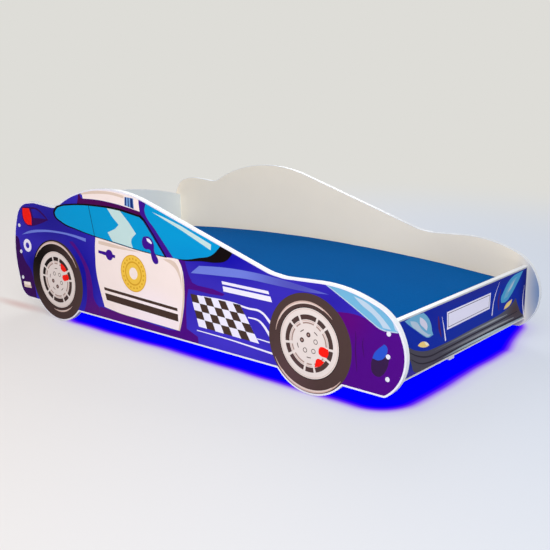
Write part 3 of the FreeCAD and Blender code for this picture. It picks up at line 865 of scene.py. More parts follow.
cut_areas("lamps", [
    ("tail_lens_frame", [tail_lens_frame], dark_plum, 1),
    ("tail_lens_body", [tail_lens_body], body_blue, 2),
    ("tail_lens_dark", [tail_lens_dark], dark_plum, 2),
    ("tail_lamp", [tail_lamp], caliper_red, 2),
    ("headlamp", [headlamp], headlight_blue, 2, AT_EDGE),
    ("headlamp_ray", [headlamp_ray], headlight_light, 3, AT_EDGE),
    ("headlamp_brow", [headlamp_brow], headlight_light, 3, AT_EDGE),
    ("headlamp_edge", [headlamp_edge], headlight_light, 4, AT_EDGE),
    ("fog_hollow", [fog_hollow], fog_shadow, 2),
    ("fog_lens", [fog_lens], fog_blue, 3),
    ("rear_reflector", [[(-819, 114), (-777, 117), (-771, 95), (-815, 93)]], door_white, 2),
    ("reflector_lower", [[(-818, 103), (-774, 106), (-771, 95), (-815, 93)]], door_shade, 3),
])
print("lamp sheets", len(RIGHT_GROUPS["lamps"]))

# %% Roof, glass and pillars
roof = [
    (-449, 520), (-435, 468), (-365, 471, ROUND), (-291, 469, ROUND), (-220, 463, ROUND), (-140, 453),
    (-140, 520),
]
roof_stripe = [
    (-446, 492), (-433, 492), (-363, 501, ROUND), (-289, 504, ROUND), (-222, 498), (-223, 489),
    (-289, 495, ROUND), (-364, 491, ROUND), (-444, 481),
]
roof_shadow = [
    (-458, 520), (-446, 470, ROUND), (-435, 467), (-365, 470, ROUND), (-291, 468, ROUND), (-220, 462, ROUND),
    (-120, 450), (-130, 428), (-200, 447, ROUND), (-300, 450, ROUND), (-430, 446, ROUND), (-470, 444),
    (-462, 470, ROUND),
]
side_glass = [
    (-597, 396, ROUND), (-586, 416, ROUND), (-558, 428, ROUND), (-525, 434, ROUND), (-450, 443, ROUND),
    (-367, 447, ROUND), (-269, 447, ROUND), (-150, 435), (-132, 424), (-79, 367), (-38, 322),
    (-152, 326, ROUND), (-277, 336, ROUND), (-376, 344, ROUND), (-479, 357, ROUND), (-563, 374, ROUND),
]
glass_frame = [
    (-607, 396, ROUND), (-594, 421, ROUND), (-557, 434, ROUND), (-524, 440, ROUND), (-449, 449, ROUND),
    (-367, 453, ROUND), (-268, 454, ROUND), (-143, 441), (-118, 425), (-66, 368), (-26, 319), (-40, 319),
    (-152, 323, ROUND), (-277, 333, ROUND), (-376, 341, ROUND), (-481, 353, ROUND), (-566, 369, ROUND),
]
reflection = [
    (-310, 448), (-283, 420), (-253, 398), (-273, 382), (-312, 365), (-289, 338), (-187, 329),
    (-194, 351, ROUND), (-169, 379), (-204, 413), (-245, 446),
]
windscreen = [
    (-124, 520), (-124, 460, ROUND), (-114, 438, ROUND), (-82, 408), (3, 322), (60, 326, ROUND),
    (112, 338, ROUND), (168, 354, ROUND), (206, 386), (206, 520),
]
windscreen_light = [(-89, 459), (-37, 449), (44, 429), (169, 388), (167, 370), (43, 416)]
cowl = [
    (0, 322), (58, 321, ROUND), (129, 330, ROUND), (193, 335, ROUND), (231, 347, ROUND), (262, 380),
    (262, 440), (100, 400), (20, 334),
]
pillar = [
    (-150, 520), (-148, 460, ROUND), (-140, 440, ROUND), (-79, 371), (-36, 320), (4, 322), (-82, 409),
    (-114, 439, ROUND), (-124, 460, ROUND), (-118, 480), (-118, 520),
]
pillar_dark = [(-148, 446), (-134, 431), (-79, 374), (-34, 319), (-26, 319), (-79, 381), (-126, 432)]
door_line = band([(-408, 450), (-381, 340)], [2.4, 2.4])
markers = [[(-218, 467), (-211, 466), (-210, 494), (-217, 494)],
           [(-203, 464), (-198, 463), (-198, 494), (-203, 494)],
           [(-191, 462), (-177, 460), (-179, 493), (-191, 494)]]
cut_areas("roof", [
    ("roof_shadow", [roof_shadow], roof_plum, 1, AT_EDGE),
    ("roof_skin", [roof], door_white, 2, AT_EDGE),
    ("roof_stripe", [roof_stripe], door_shade, 3, AT_EDGE),
    ("roof_marker_ground", [[(-220, 466), (-174, 460), (-176, 494), (-218, 495)]], marker_blue, 3),
    ("roof_markers", markers, marker_dark, 4),
])
cut_areas("glass", [
    ("glass_frame", [glass_frame], black, 2),
    ("side_glass", [side_glass], glass_blue, 3),
    ("glass_reflection", [reflection], glass_light, 4),
    ("door_line", [door_line], black, 5),
    ("windscreen_cowl", [cowl], black, 2, AT_EDGE),
    ("windscreen", [windscreen], glass_blue, 3, AT_EDGE),
    ("windscreen_light", [windscreen_light], glass_light, 4, AT_EDGE),
])
cut_areas("pillar", [
    ("front_pillar", [pillar], handle_purple, 5, AT_EDGE),
    ("pillar_dark", [pillar_dark], black, 6, AT_EDGE),
])
print("glass sheets", len(RIGHT_GROUPS["glass"]))

# %% Door, handle and mirror
door = [
    (-378, 340), (-383, 306, ROUND), (-384, 272, ROUND), (-383, 221, ROUND), (-367, 156, ROUND), (-347, 99),
    (-269, 91, ROUND), (-166, 89, ROUND), (23, 86), (38, 140, ROUND), (47, 200, ROUND), (46, 268, ROUND),
    (38, 300, ROUND), (24, 322), (-38, 322), (-152, 325, ROUND), (-277, 335, ROUND),
]
door_top_shade = [
    (-364, 330), (-326, 330, ROUND), (-253, 326, ROUND), (-150, 319), (-200, 317, ROUND), (-278, 316, ROUND),
    (-363, 319),
]
door_front_shade = [
    (-46, 312), (-7, 314, ROUND), (14, 306, ROUND), (34, 268, ROUND), (36, 226), (28, 262, ROUND),
    (8, 290, ROUND),
]
door_edge_shade = [
    (38, 290), (47, 250, ROUND), (47, 190, ROUND), (36, 130, ROUND), (23, 86), (16, 86), (30, 140, ROUND),
    (40, 200, ROUND), (40, 250, ROUND),
]
handle = [(-366, 297), (-329, 296), (-278, 291), (-280, 281), (-330, 284), (-366, 287)]
mirror = [
    (-137, 369, ROUND), (-124, 376, ROUND), (-100, 373, ROUND), (-86, 356, ROUND), (-84, 332, ROUND),
    (-67, 298, ROUND), (-76, 291, ROUND), (-88, 293, ROUND), (-99, 312, ROUND), (-104, 333, ROUND),
    (-127, 334, ROUND), (-139, 344, ROUND),
]
mirror_light = [(-120, 370), (-106, 369, ROUND), (-93, 357), (-98, 354), (-116, 361)]
cut_areas("door", [
    ("door_skin", [door], door_white, 2),
    ("door_top_shade", [door_top_shade], door_shade, 3),
    ("door_front_shade", [door_front_shade], door_shade, 3),
    ("door_edge_shade", [door_edge_shade], door_shade, 3),
    ("handle_bar", [handle], handle_purple, 4),
    ("handle_disc", [circle((-309, 288), 18.5, 40)], handle_purple, 5),
    ("mirror", [mirror], handle_purple, 7),
    ("mirror_light", [mirror_light], trim_white, 8),
])
print("door sheets", len(RIGHT_GROUPS["door"]))

# %% [markdown]
# ## Plain shapes on the door and the fenders
#
# The door carries a gold roundel with a beaded ring over two dark stripes, the front fender two white
# stripes, and the rear fender a small white ring. They are plain heraldry of the kind any toy car may wear.

# %% Roundel, stripes and ring
ROUNDEL_CENTRE = (-190, 242)
BEADS = 20
beads = [circle(arc(ROUNDEL_CENTRE, 50, turn, turn, 1)[0], 3.6, 12)
         for turn in [360 * bead / BEADS for bead in range(BEADS)]]
cut_areas("roundel", [
    ("roundel_edge", [circle(ROUNDEL_CENTRE, 63)], gold_dark, 3),
    ("roundel_disc", [circle(ROUNDEL_CENTRE, 60)], gold, 4),
    ("roundel_beads", beads, gold_dark, 5),
    ("roundel_ring", [circle(ROUNDEL_CENTRE, 41), circle(ROUNDEL_CENTRE, 36)], gold_dark, 5),
    ("roundel_core", [circle(ROUNDEL_CENTRE, 20)], door_white, 5),
])
door_stripes = [
    [(-346, 170), (14, 160), (15, 150), (-343, 160)],
    [(-342, 150), (16, 140), (17, 116), (-334, 126)],
]
fender_stripes = [
    [(210, 281), (394, 281), (398, 272), (212, 272)],
    [(214, 266), (402, 266), (408, 250), (217, 250)],
]
cut_areas("stripes", [
    ("door_stripes", door_stripes, chequer_dark, 3),
    ("fender_stripes", fender_stripes, trim_white, 3),
    ("tail_ring", [circle((-778, 258), 24, 40), circle((-778, 258), 11, 32)], trim_white, 3),
])
print("plain shapes", len(RIGHT_GROUPS["roundel"]) + len(RIGHT_GROUPS["stripes"]))

# %% Chequered patch and the trim lines round it
PATCH = [Vector((74, 219)), Vector((284, 220)), Vector((358, 114)), Vector((109, 118))]
PATCH_COLUMNS, PATCH_ROWS = 7, 4


def patch_point(across, down):
    """The place on the patch at a share of its width and height."""
    top = PATCH[0].lerp(PATCH[1], across)
    bottom = PATCH[3].lerp(PATCH[2], across)
    return tuple(top.lerp(bottom, down))


squares = []
for column in range(PATCH_COLUMNS):
    for row in range(PATCH_ROWS):
        if (column + row) % 2 == 0:
            left, right = column / PATCH_COLUMNS, (column + 1) / PATCH_COLUMNS
            top, bottom = row / PATCH_ROWS, (row + 1) / PATCH_ROWS
            squares.append([patch_point(left, top), patch_point(right, top), patch_point(right, bottom),
                            patch_point(left, bottom)])
cut_areas("chequer", [("chequer_ground", [[tuple(corner) for corner in PATCH]], trim_white, 1)])
cut_areas("chequer", [(f"chequer_square_{number}", [outline], chequer_dark, 2)
                      for number, outline in enumerate(squares)])
trim_lines = {
    "upper": band([(125, 219), (243, 221), (315, 215), (366, 213), (398, 190), (424, 160)],
                  [3, 5, 6, 7, 9, 11]),
    "second": band([(315, 187), (356, 185), (372, 176), (392, 156), (420, 122)], [4, 6, 8, 9, 10]),
    "short": band([(350, 128), (410, 126)], [3, 4]),
    "lower": band([(100, 104), (241, 102), (313, 99), (414, 94)], [3, 4, 5, 6]),
}
cut_areas("trim_lines", [(name + "_trim_line", [outline], trim_white, 2, AT_EDGE)
                         for name, outline in trim_lines.items()])
print("chequer squares", len(squares))

# %% [markdown]
# ## The front board's picture
#
# The front film shows the nose of the car: two headlamps, indicators, creases beside a bare white plate,
# and a dark bumper with lengthwise bands of light. Its sheets are cut the same way and laid on the front
# board.

# %% Bumper and its lines of light
bumper = [
    (-420, 190), (-329, 175), (-297, 159, ROUND), (-237, 142, ROUND), (-180, 138, ROUND), (65, 140, ROUND),
    (176, 141, ROUND), (247, 146, ROUND), (299, 158, ROUND), (328, 172), (350, 140, ROUND),
    (378, 110, ROUND), (420, 92), (420, 60), (-120, 60), (-134, 88), (-207, 86, ROUND), (-258, 88, ROUND),
    (-300, 98, ROUND), (-316, 124, ROUND), (-330, 150), (-420, 160),
]
dark_lines = [
    band([(-330, 162), (-286, 140), (-225, 122), (-158, 120), (67, 121), (200, 121), (344, 124)],
         [2, 4, 5, 5, 5, 5, 3]),
    band([(-318, 138), (-270, 114), (-214, 103), (-135, 102), (69, 102), (200, 101), (384, 100)],
         [2, 4, 5, 5, 5, 5, 4]),
    band([(-110, 89), (-12, 91), (100, 91), (240, 89), (402, 88)], [2, 3, 4, 4, 3]),
]
light_lines = [
    band([(-190, 130), (-105, 131), (66, 131), (177, 131), (270, 130)], [1, 4, 5, 6, 2]),
    band([(-150, 111), (-103, 111), (68, 110), (190, 110), (320, 108)], [1, 4, 7, 7, 3]),
]
pale_line = band([(-140, 95), (-69, 96), (50, 96), (228, 94), (396, 92)], [1, 6, 8, 8, 4])


def cut_front(areas):
    """Cuts rows of (name, outlines, ink, level) for the front board, each trimmed to its film."""
    return [trim(cut_sheet(*area, LAY_ON_FRONT), front_cutter) for area in areas]


front_sheets = cut_front([
    ("front_bumper", [bumper], bumper_grey, 1),
    ("bumper_dark_lines", dark_lines, bumper_line, 2),
    ("bumper_light_lines", light_lines, bumper_light, 3),
    ("bumper_pale_line", [pale_line], bumper_pale, 4),
])
print("bumper sheets", len(front_sheets))

# %% Headlamps, indicators, creases and the bare plate
near_lamp = [
    (-358, 256), (-313, 260, ROUND), (-260, 257), (-234, 237, ROUND), (-217, 213, ROUND), (-211, 194),
    (-203, 180), (-232, 179, ROUND), (-255, 190, ROUND), (-291, 212, ROUND), (-326, 234, ROUND),
]
near_lamp_rim = [
    (-330, 250), (-295, 238, ROUND), (-267, 212, ROUND), (-230, 188), (-214, 184), (-232, 182, ROUND),
    (-258, 194, ROUND), (-296, 217, ROUND), (-322, 236, ROUND),
]
near_lamp_glint = [
    (-280, 250), (-253, 234, ROUND), (-237, 213, ROUND), (-240, 201), (-257, 214, ROUND), (-278, 233, ROUND),
]
far_lamp = [
    (222, 179), (217, 194, ROUND), (232, 212, ROUND), (277, 245, ROUND), (372, 257), (330, 220, ROUND),
    (277, 184, ROUND), (250, 176, ROUND),
]
far_lamp_ray = [(236, 188), (254, 212, ROUND), (300, 240, ROUND), (330, 244), (292, 214, ROUND), (264, 190)]
far_lamp_glint = [(262, 204), (282, 222, ROUND), (312, 238), (292, 216, ROUND)]
near_indicator = [
    (-286, 170), (-268, 175, ROUND), (-249, 172, ROUND), (-230, 162, ROUND), (-223, 154), (-243, 154, ROUND),
    (-271, 162, ROUND),
]
near_indicator_light = [(-252, 173), (-231, 163, ROUND), (-224, 155), (-240, 160, ROUND)]
far_indicator = [(242, 153), (254, 165, ROUND), (300, 175), (293, 163, ROUND), (269, 154, ROUND)]
creases = [
    band([(-157, 222), (-142, 182), (-130, 144)], [1, 4, 6]),
    band([(200, 252), (168, 198), (160, 152)], [1, 4, 6]),
    band([(388, 204), (383, 150), (400, 94)], [1, 4, 7]),
]
red_streaks = [band([(-178, 228), (-170, 194), (-156, 162)], [5, 11, 4]),
               band([(214, 226), (200, 190), (208, 158)], [4, 10, 4])]
plate_edge = [(-129, 229), (144, 229), (142, 178), (-124, 175)]
plate_lines = [[(-122, 224), (138, 224), (136, 184), (-118, 181)],
               [(-120, 222), (136, 222), (134, 186), (-116, 183)]]
front_sheets += cut_front([
    ("red_streaks", red_streaks, crease_red, 1),
    ("near_lamp", [near_lamp], headlight_blue, 2),
    ("near_lamp_rim", [near_lamp_rim], headlight_light, 3),
    ("near_lamp_glint", [near_lamp_glint], headlight_glint, 4),
    ("far_lamp", [far_lamp], headlight_deep, 2),
    ("far_lamp_ray", [far_lamp_ray], headlight_blue, 3),
    ("far_lamp_glint", [far_lamp_glint], headlight_light, 4),
    ("near_indicator", [near_indicator], amber, 2),
    ("near_indicator_light", [near_indicator_light], amber_light, 3),
    ("far_indicator", [far_indicator], amber, 2),
    ("creases", creases, trim_white, 5),
    ("plate", [plate_edge], trim_white, 2),
    ("plate_line", plate_lines, bumper_light, 3),
])
print("front sheets", len(front_sheets))

# %% [markdown]
# ## From sheets to pieces
#
# Sheets that belong together are joined into one piece, as a printed area is one thing on the real film.
# The left board's picture is the mirror image of the right one. Mirroring turns a mesh inside out, so the
# copy's normals are recalculated.


# %% Join, mirror and attach
def join_sheets(name, sheets):
    """One piece made of all these sheets."""
    only(*sheets)
    if len(sheets) > 1:
        bpy.ops.object.join()
    sheets[0].name = name
    return sheets[0]


def mirror_across_bed(piece, name):
    """A copy of the piece on the other side of the bed."""
    only(piece)
    bpy.ops.object.duplicate()
    twin = bpy.context.object
    twin.name = name
    twin.scale.y = -1
    bpy.ops.object.transform_apply(location=False, rotation=False, scale=True)
    with edit_mode(twin):
        bpy.ops.mesh.normals_make_consistent(inside=False)
    return twin


def attach(piece, slot, body="root", *replaced):
    """Attaches the piece to the body it moves with and hides the CAD nodes it stands for. slot is not used.
    """
    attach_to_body(piece, body)
    if replaced:
        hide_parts(*replaced)
    return piece


paint(side_base, body_blue)
side_base.name = "right_film"
left_base = mirror_across_bed(side_base, "left_film")
attach(side_base, "print_blue", "root", "right_print")
attach(left_base, "print_blue", "root", "left_print")
for group, sheets in RIGHT_GROUPS.items():
    piece = join_sheets("right_film_" + group, sheets)
    twin = mirror_across_bed(piece, "left_film_" + group)
    attach(piece, "print_blue")
    attach(twin, "print_blue")
paint(front_base, front_blue)
front_base.name = "front_film"
attach(front_base, "print_blue", "root", "front_print")
attach(join_sheets("front_film_areas", front_sheets), "print_blue")
for cutter in (side_cutter, front_cutter):
    bpy.data.objects.remove(cutter, do_unlink=True)

# %% [markdown]
# ## The mattress
#
# The mattress is a foam block in a sewn cover of blue cotton. Foam cut to stand proud in the middle gives
# the top its crown along and across. The cover is two panels and a border, sewn together with a thin welt,
# and its corners are a little pulled in by the seams.
#
# A grid is extruded to a block and cut into rows by bisecting. Then its points are moved by the crown's
# formula. Cloth with air pressure and no gravity gives it the small swellings that a filled cover has.

# %% The block and its rows
mattress_low, mattress_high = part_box("mattress_cover")
MATTRESS_MIDDLE = (mattress_low + mattress_high) / 2
HALF_LENGTH = (mattress_high.x - mattress_low.x) / 2
HALF_WIDTH = (mattress_high.y - mattress_low.y) / 2
CORNER_HEIGHT = 56 * MM
LENGTH_CROWN = 44 * MM
WIDTH_CROWN = 12 * MM
GRID_ALONG, GRID_ACROSS, WALL_ROWS = 132, 66, 7
ROOM_TO_SWELL = 2.2 * MM
WALL_SWELL = 3.2 * MM
SIDE_WAIST = 3.0 * MM
END_WAIST = 2.5 * MM
SHOULDER_DROP, SHOULDER_REACH = 6 * MM, 16 * MM
ABOVE_SLATS = 0.3 * MM
ON_RIM = 0.999

bpy.ops.object.select_all(action="DESELECT")
bpy.ops.mesh.primitive_grid_add(x_subdivisions=GRID_ALONG, y_subdivisions=GRID_ACROSS, size=2,
                                location=(0, 0, 0))
mattress = bpy.context.object
mattress.name = "mattress"
with edit_mode(mattress):
    bpy.ops.mesh.extrude_region_move(TRANSFORM_OT_translate={"value": (0, 0, 1)})
    for row in range(1, WALL_ROWS):
        bpy.ops.mesh.select_all(action="SELECT")
        bpy.ops.mesh.bisect(plane_co=(0, 0, row / WALL_ROWS), plane_no=(0, 0, 1))
    bpy.ops.mesh.select_all(action="SELECT")
    bpy.ops.mesh.normals_make_consistent(inside=False)
print("block", len(mattress.data.vertices), "points")

# %% Seams, then the crown by formula
top_seam = mattress.vertex_groups.new(name="top_seam")
foot_seam = mattress.vertex_groups.new(name="foot_seam")
for vertex in mattress.data.vertices:
    along, across, height = vertex.co
    on_rim = max(abs(along), abs(across)) > ON_RIM
    if on_rim and height > ON_RIM:
        top_seam.add([vertex.index], 1.0, "REPLACE")
    elif on_rim and height < 1 - ON_RIM:
        foot_seam.add([vertex.index], 1.0, "REPLACE")


def mattress_point(along, across, height):
    """Where a point of the block, given by shares of its size, lies on the filled mattress."""
    middle_along, middle_across = 1 - along ** 2, 1 - across ** 2
    wall_swell = WALL_SWELL * 4 * height * (1 - height)
    draw_in_side = ROOM_TO_SWELL + WALL_SWELL - wall_swell + SIDE_WAIST * middle_along
    draw_in_end = ROOM_TO_SWELL + WALL_SWELL - wall_swell + END_WAIST * middle_across
    x = along * (HALF_LENGTH - draw_in_end)
    y = across * (HALF_WIDTH - draw_in_side)
    seam = CORNER_HEIGHT + LENGTH_CROWN * middle_along
    to_rim = min(HALF_LENGTH * (1 - abs(along)), HALF_WIDTH * (1 - abs(across)))
    shoulder = SHOULDER_DROP * math.exp(-to_rim / SHOULDER_REACH)
    top = seam + WIDTH_CROWN * middle_across - shoulder - ROOM_TO_SWELL
    return Vector((MATTRESS_MIDDLE.x + x, y, mattress_low.z + ABOVE_SLATS + height * top))


for vertex in mattress.data.vertices:
    vertex.co = mattress_point(*vertex.co)
print("mattress crown at", round(max(vertex.co.z for vertex in mattress.data.vertices), 4))

# %% Air pressure in the cover
AIR_PRESSURE = 1.5
FRAMES = 20
FARTHEST_MOVE = 4 * MM


def fill_with_air(piece):
    """Runs a short cloth simulation with air pressure and keeps its shape, within the farthest move."""
    only(piece)
    before = [vertex.co.copy() for vertex in piece.data.vertices]
    modifier = piece.modifiers.new("cover", "CLOTH")
    settings = modifier.settings
    settings.quality = 5
    settings.mass = 0.3
    settings.use_pressure = True
    settings.uniform_pressure_force = AIR_PRESSURE
    settings.tension_stiffness = settings.compression_stiffness = 30
    settings.shear_stiffness = 12
    settings.bending_stiffness = 0.6
    settings.effector_weights.gravity = 0
    modifier.collision_settings.use_collision = False
    scene = bpy.context.scene
    scene.frame_start, scene.frame_end = 1, FRAMES
    for frame_number in range(1, FRAMES + 1):
        scene.frame_set(frame_number)
    bpy.ops.object.modifier_apply(modifier="cover")
    scene.frame_set(1)
    farthest = 0.0
    for vertex, old in zip(piece.data.vertices, before):
        move = vertex.co - old
        farthest = max(farthest, move.length)
        share = FARTHEST_MOVE / (FARTHEST_MOVE + move.length)
        vertex.co = old + move * share
        vertex.co.z = max(vertex.co.z, mattress_low.z)
    return farthest


print("the air moved the cover by up to", round(fill_with_air(mattress) / MM, 1), "mm")
only(mattress)
finer = mattress.modifiers.new("finer", "SUBSURF")
finer.levels = finer.render_levels = 1
bpy.ops.object.modifier_apply(modifier="finer")


def unwrap_and_smooth(piece):
    """A UV map in metres, and smooth shading."""
    with edit_mode(piece):
        bpy.ops.uv.cube_project(cube_size=1.0)
        bpy.ops.mesh.faces_shade_smooth()


unwrap_and_smooth(mattress)
print("mattress", len(mattress.data.polygons), "faces")

# %% [markdown]
# ## The welt along the seams
#
# A welt is a cord sewn into the seam between two panels. Its path is the seam itself, so the seam's edges
# are copied out of the mattress, made a curve and given a round section.

# %% Welts
WELT_RADIUS = 1.6 * MM
ON_SEAM = 0.6


def welt_along(group_name, name):
    """A round welt that follows the edges of one of the mattress's seams."""
    only(mattress)
    index = mattress.vertex_groups[group_name].index
    bpy.ops.object.mode_set(mode="EDIT")
    bpy.ops.mesh.select_mode(type="VERT")
    bpy.ops.mesh.select_all(action="DESELECT")
    bpy.ops.object.mode_set(mode="OBJECT")
    for vertex in mattress.data.vertices:
        vertex.select = any(entry.group == index and entry.weight > ON_SEAM for entry in vertex.groups)
    bpy.ops.object.mode_set(mode="EDIT")
    bpy.ops.mesh.duplicate()
    bpy.ops.mesh.separate(type="SELECTED")
    bpy.ops.object.mode_set(mode="OBJECT")
    welt = [thing for thing in bpy.context.selected_objects if thing != mattress][0]
    welt.name = name
    with edit_mode(welt):
        bpy.ops.mesh.delete(type="ONLY_FACE")
    bpy.ops.object.convert(target="CURVE")
    welt = bpy.context.object
    welt.data.bevel_depth = WELT_RADIUS
    welt.data.bevel_resolution = 2
    bpy.ops.object.convert(target="MESH")
    welt = bpy.context.object
    unwrap_and_smooth(welt)
    return welt


welts = [welt_along("top_seam", "top_welt"), welt_along("foot_seam", "foot_welt")]
for welt in welts:
    for vertex in welt.data.vertices:
        vertex.co.z = max(vertex.co.z, mattress_low.z)
    print(welt.name, len(welt.data.polygons), "faces")

# %% [markdown]
# ## Cotton
#
# The cover is a plain-woven cotton of one strong blue, with the small slubs of its threads. From a few
# steps it reads as smooth and matt. The weave follows the piece's own UV map, so it turns with the cloth.

# %% Cotton for the cover and its welts
WEAVE_STRENGTH = 0.3
mattress_cloth, cloth_tree, cloth_shader = new_material("mattress_cotton", 0.9, Specular_IOR_Level=0.02)
weave = place_group(cloth_tree, PLAIN_WEAVE, Color=screen_colour(0, 82, 148), Threads_per_metre=900.0)
join(cloth_tree, cloth_shader.inputs["Base Color"], weave["Color"])
add_bump(cloth_tree, cloth_shader, weave["Height"], WEAVE_STRENGTH, PEEL_DEPTH)
for piece in (mattress, *welts):
    paint(piece, mattress_cloth)
attach(mattress, "mattress_cloth", "mattress", "mattress_cover", "mattress_core")
for welt in welts:
    attach(welt, "mattress_cloth", "mattress")
print("cotton on", 1 + len(welts), "pieces")

# %% [markdown]
# ## Screw caps
#
# Each corner screw is hidden by a white self-adhesive cap with a low dome. One cap is modelled lying flat,
# from a cylinder whose top is inset twice and raised. It is then copied to the middle of each cap of the
# construction model and turned to face outwards.

# %% One cap, then its twelve copies
CAP_RADIUS = 6.3 * MM
CAP_RIM = 0.40 * MM
CAP_STEPS = [(0.9 * MM, 0.16 * MM), (1.6 * MM, 0.14 * MM), (2.0 * MM, 0.09 * MM)]
FACES_UP = 0.9
SHARP_EDGE = math.radians(50)
bpy.ops.object.select_all(action="DESELECT")
bpy.ops.mesh.primitive_cylinder_add(vertices=40, radius=CAP_RADIUS, depth=CAP_RIM,
                                    location=(0, 0, CAP_RIM / 2))
pattern_cap = bpy.context.object
bpy.ops.object.transform_apply(location=True, rotation=True, scale=True)
for vertex in pattern_cap.data.vertices:
    vertex.select = False
for polygon in pattern_cap.data.polygons:
    polygon.select = polygon.normal.z > FACES_UP
bpy.ops.object.mode_set(mode="EDIT")
bpy.ops.mesh.select_mode(type="FACE")
for narrower, higher in CAP_STEPS:
    bpy.ops.mesh.inset(thickness=narrower, depth=higher)
bpy.ops.mesh.select_all(action="SELECT")
bpy.ops.mesh.faces_shade_smooth()
bpy.ops.object.mode_set(mode="OBJECT")
bpy.ops.object.shade_smooth_by_angle(angle=SHARP_EDGE)
paint(pattern_cap, white_plastic)

places_of_caps = copy_of_node("screw_caps", "cap_places")
with edit_mode(places_of_caps):
    bpy.ops.mesh.separate(type="LOOSE")
cap_solids = list(bpy.context.selected_objects)
caps = []
for solid in cap_solids:
    corners = [vertex.co for vertex in solid.data.vertices]
    middle = sum(corners, Vector()) / len(corners)
    face = min(abs(corner.y) for corner in corners)
    side = math.copysign(1, middle.y)
    only(pattern_cap)
    bpy.ops.object.duplicate()
    cap = bpy.context.object
    facing_out = Matrix.Rotation(-side * math.pi / 2, 4, "X")
    cap.matrix_world = Matrix.Translation((middle.x, side * face, middle.z)) @ facing_out
    bpy.ops.object.transform_apply(location=True, rotation=True, scale=True)
    caps.append(cap)
for thing in (*cap_solids, pattern_cap):
    bpy.data.objects.remove(thing, do_unlink=True)
screw_cap_set = attach(join_sheets("domed_screw_caps", caps), "white_plastic", "root", "screw_caps")
cap_reach = max(abs(vertex.co.y) for vertex in screw_cap_set.data.vertices) / MM
print("caps", len(caps), "reach y", round(cap_reach, 2), "mm")

# %% [markdown]
# ## Floor and light
#
# The bed stands on a plain pale floor that runs on into a pale background. Its tone is painted light: warmer
# on one side and cooler on the other, with a faint painted shadow by the rear corner of the bed's right side.
# The blue glow on it is wide and even, so it is painted on the floor as a soft-edged rectangle rather than
# left to the tiny lamps, which would need a very long render to look smooth. Its far edge draws in towards
# the rear of the bed. Far away the floor takes the background's own colour, and the edge between them is
# gone. Three large soft lamps and the bright surroundings light the bed evenly.

# %% Floor with the glow
FLOOR_RADIUS = 14.0
FLOOR_BELOW = 0.5 * MM
BACKDROP = screen_colour(222, 221, 216)
# Painted light: the floor is a warm white on one side and a cool white on the other.
FLOOR_COOL = screen_colour(211, 218, 230)
FLOOR_WARM = screen_colour(230, 225, 222)
# A faint warm painted shadow on the floor by the rear corner of the bed's right side.
FLOOR_PAINTED_SHADOW = screen_colour(213, 191, 187)
PAINTED_SHADOW_MIDDLE = (-0.90, -0.39, 0.0)
PAINTED_SHADOW_SIZE = (0.26, 0.05, 1.0)
TONE_TURN = math.radians(-40)
WARM_UP_TO, COOL_FROM = -1.2, 1.4
EVEN_SHARE = 0.60
GLOW_MIDDLE = (0.080, 0.132, 0.0)
GLOW_HALF_SIZE = (0.703, 0.508, 0.0)
GLOW_CORNER = 0.09
GLOW_BEND = 0.30
GLOW_LEAN = 0.25
GLOW_FRONT = 0.70
GLOW_PULL = 2.1
GLOW_STOPS = [
    (0.000, (0, 0, 255), 1.0),
    (0.012, (50, 0, 255), 1.0),
    (0.024, (108, 24, 244), 0.95),
    (0.036, (156, 108, 244), 0.70),
    (0.052, (188, 172, 244), 0.32),
    (0.090, (205, 205, 244), 0.12),
    (0.150, (214, 216, 244), 0.0),
]
RIPPLE, RIPPLE_SCALE = 0.03, 3.5
LIGHT_SHARE_OF_GLOW = 0.35
FADE_START, FADE_END = 1.1, 4.2
bpy.ops.object.select_all(action="DESELECT")
bpy.ops.mesh.primitive_circle_add(vertices=96, radius=FLOOR_RADIUS, fill_type="NGON",
                                  location=(0, 0, -FLOOR_BELOW))
floor = bpy.context.object
floor.name = "floor"

floor_material, tree, shader = new_material("studio_floor", 0.95, Specular_IOR_Level=0.05)
paint(floor, floor_material)
here = places(tree)
# Painted light: the floor's tint runs from warm to cool across the scene.
turned = result(tree, "ShaderNodeMapping", here, vector_type="POINT", Rotation=(0, 0, TONE_TURN))
sideways = result(tree, "ShaderNodeSeparateXYZ", turned)
cooler = result(tree, "ShaderNodeMapRange", sideways, interpolation_type="SMOOTHSTEP",
                From_Min=WARM_UP_TO, From_Max=COOL_FROM)
floor_tone = blend_colours(tree, cooler, FLOOR_WARM, FLOOR_COOL)
# Painted shadow: the floor turns to a faint warm shade by the rear corner of the bed's right side.
floor_tone = blend_colours(tree, soft_spot(tree, PAINTED_SHADOW_MIDDLE, PAINTED_SHADOW_SIZE), floor_tone, FLOOR_PAINTED_SHADOW)
join(tree, shader.inputs["Base Color"], floor_tone)
print("floor radius", FLOOR_RADIUS, "m, glow about", [2 * size for size in GLOW_HALF_SIZE[:2]], "m")

# %% How far each point of the floor lies outside the glow
mirrored = vectors(tree, "ABSOLUTE", vectors(tree, "SUBTRACT", here, GLOW_MIDDLE))
along, across = add_node(tree, "ShaderNodeSeparateXYZ", here).outputs[:2]
past_bend = maths(tree, "MAXIMUM", maths(tree, "SUBTRACT", across, GLOW_BEND), 0.0)
towards_rear = maths(tree, "MAXIMUM", maths(tree, "SUBTRACT", GLOW_FRONT, along), 0.0)
pull = maths(tree, "MULTIPLY", maths(tree, "MULTIPLY", past_bend, towards_rear), GLOW_PULL)
lean = result(tree, "ShaderNodeCombineXYZ", maths(tree, "MULTIPLY", past_bend, GLOW_LEAN), pull)
inner_size = [max(half - GLOW_CORNER, 0) for half in GLOW_HALF_SIZE]
beyond = vectors(tree, "SUBTRACT", vectors(tree, "ADD", mirrored, lean), inner_size)
past_edge = maths(tree, "SUBTRACT", length_of(tree, vectors(tree, "MAXIMUM", beyond)), GLOW_CORNER)
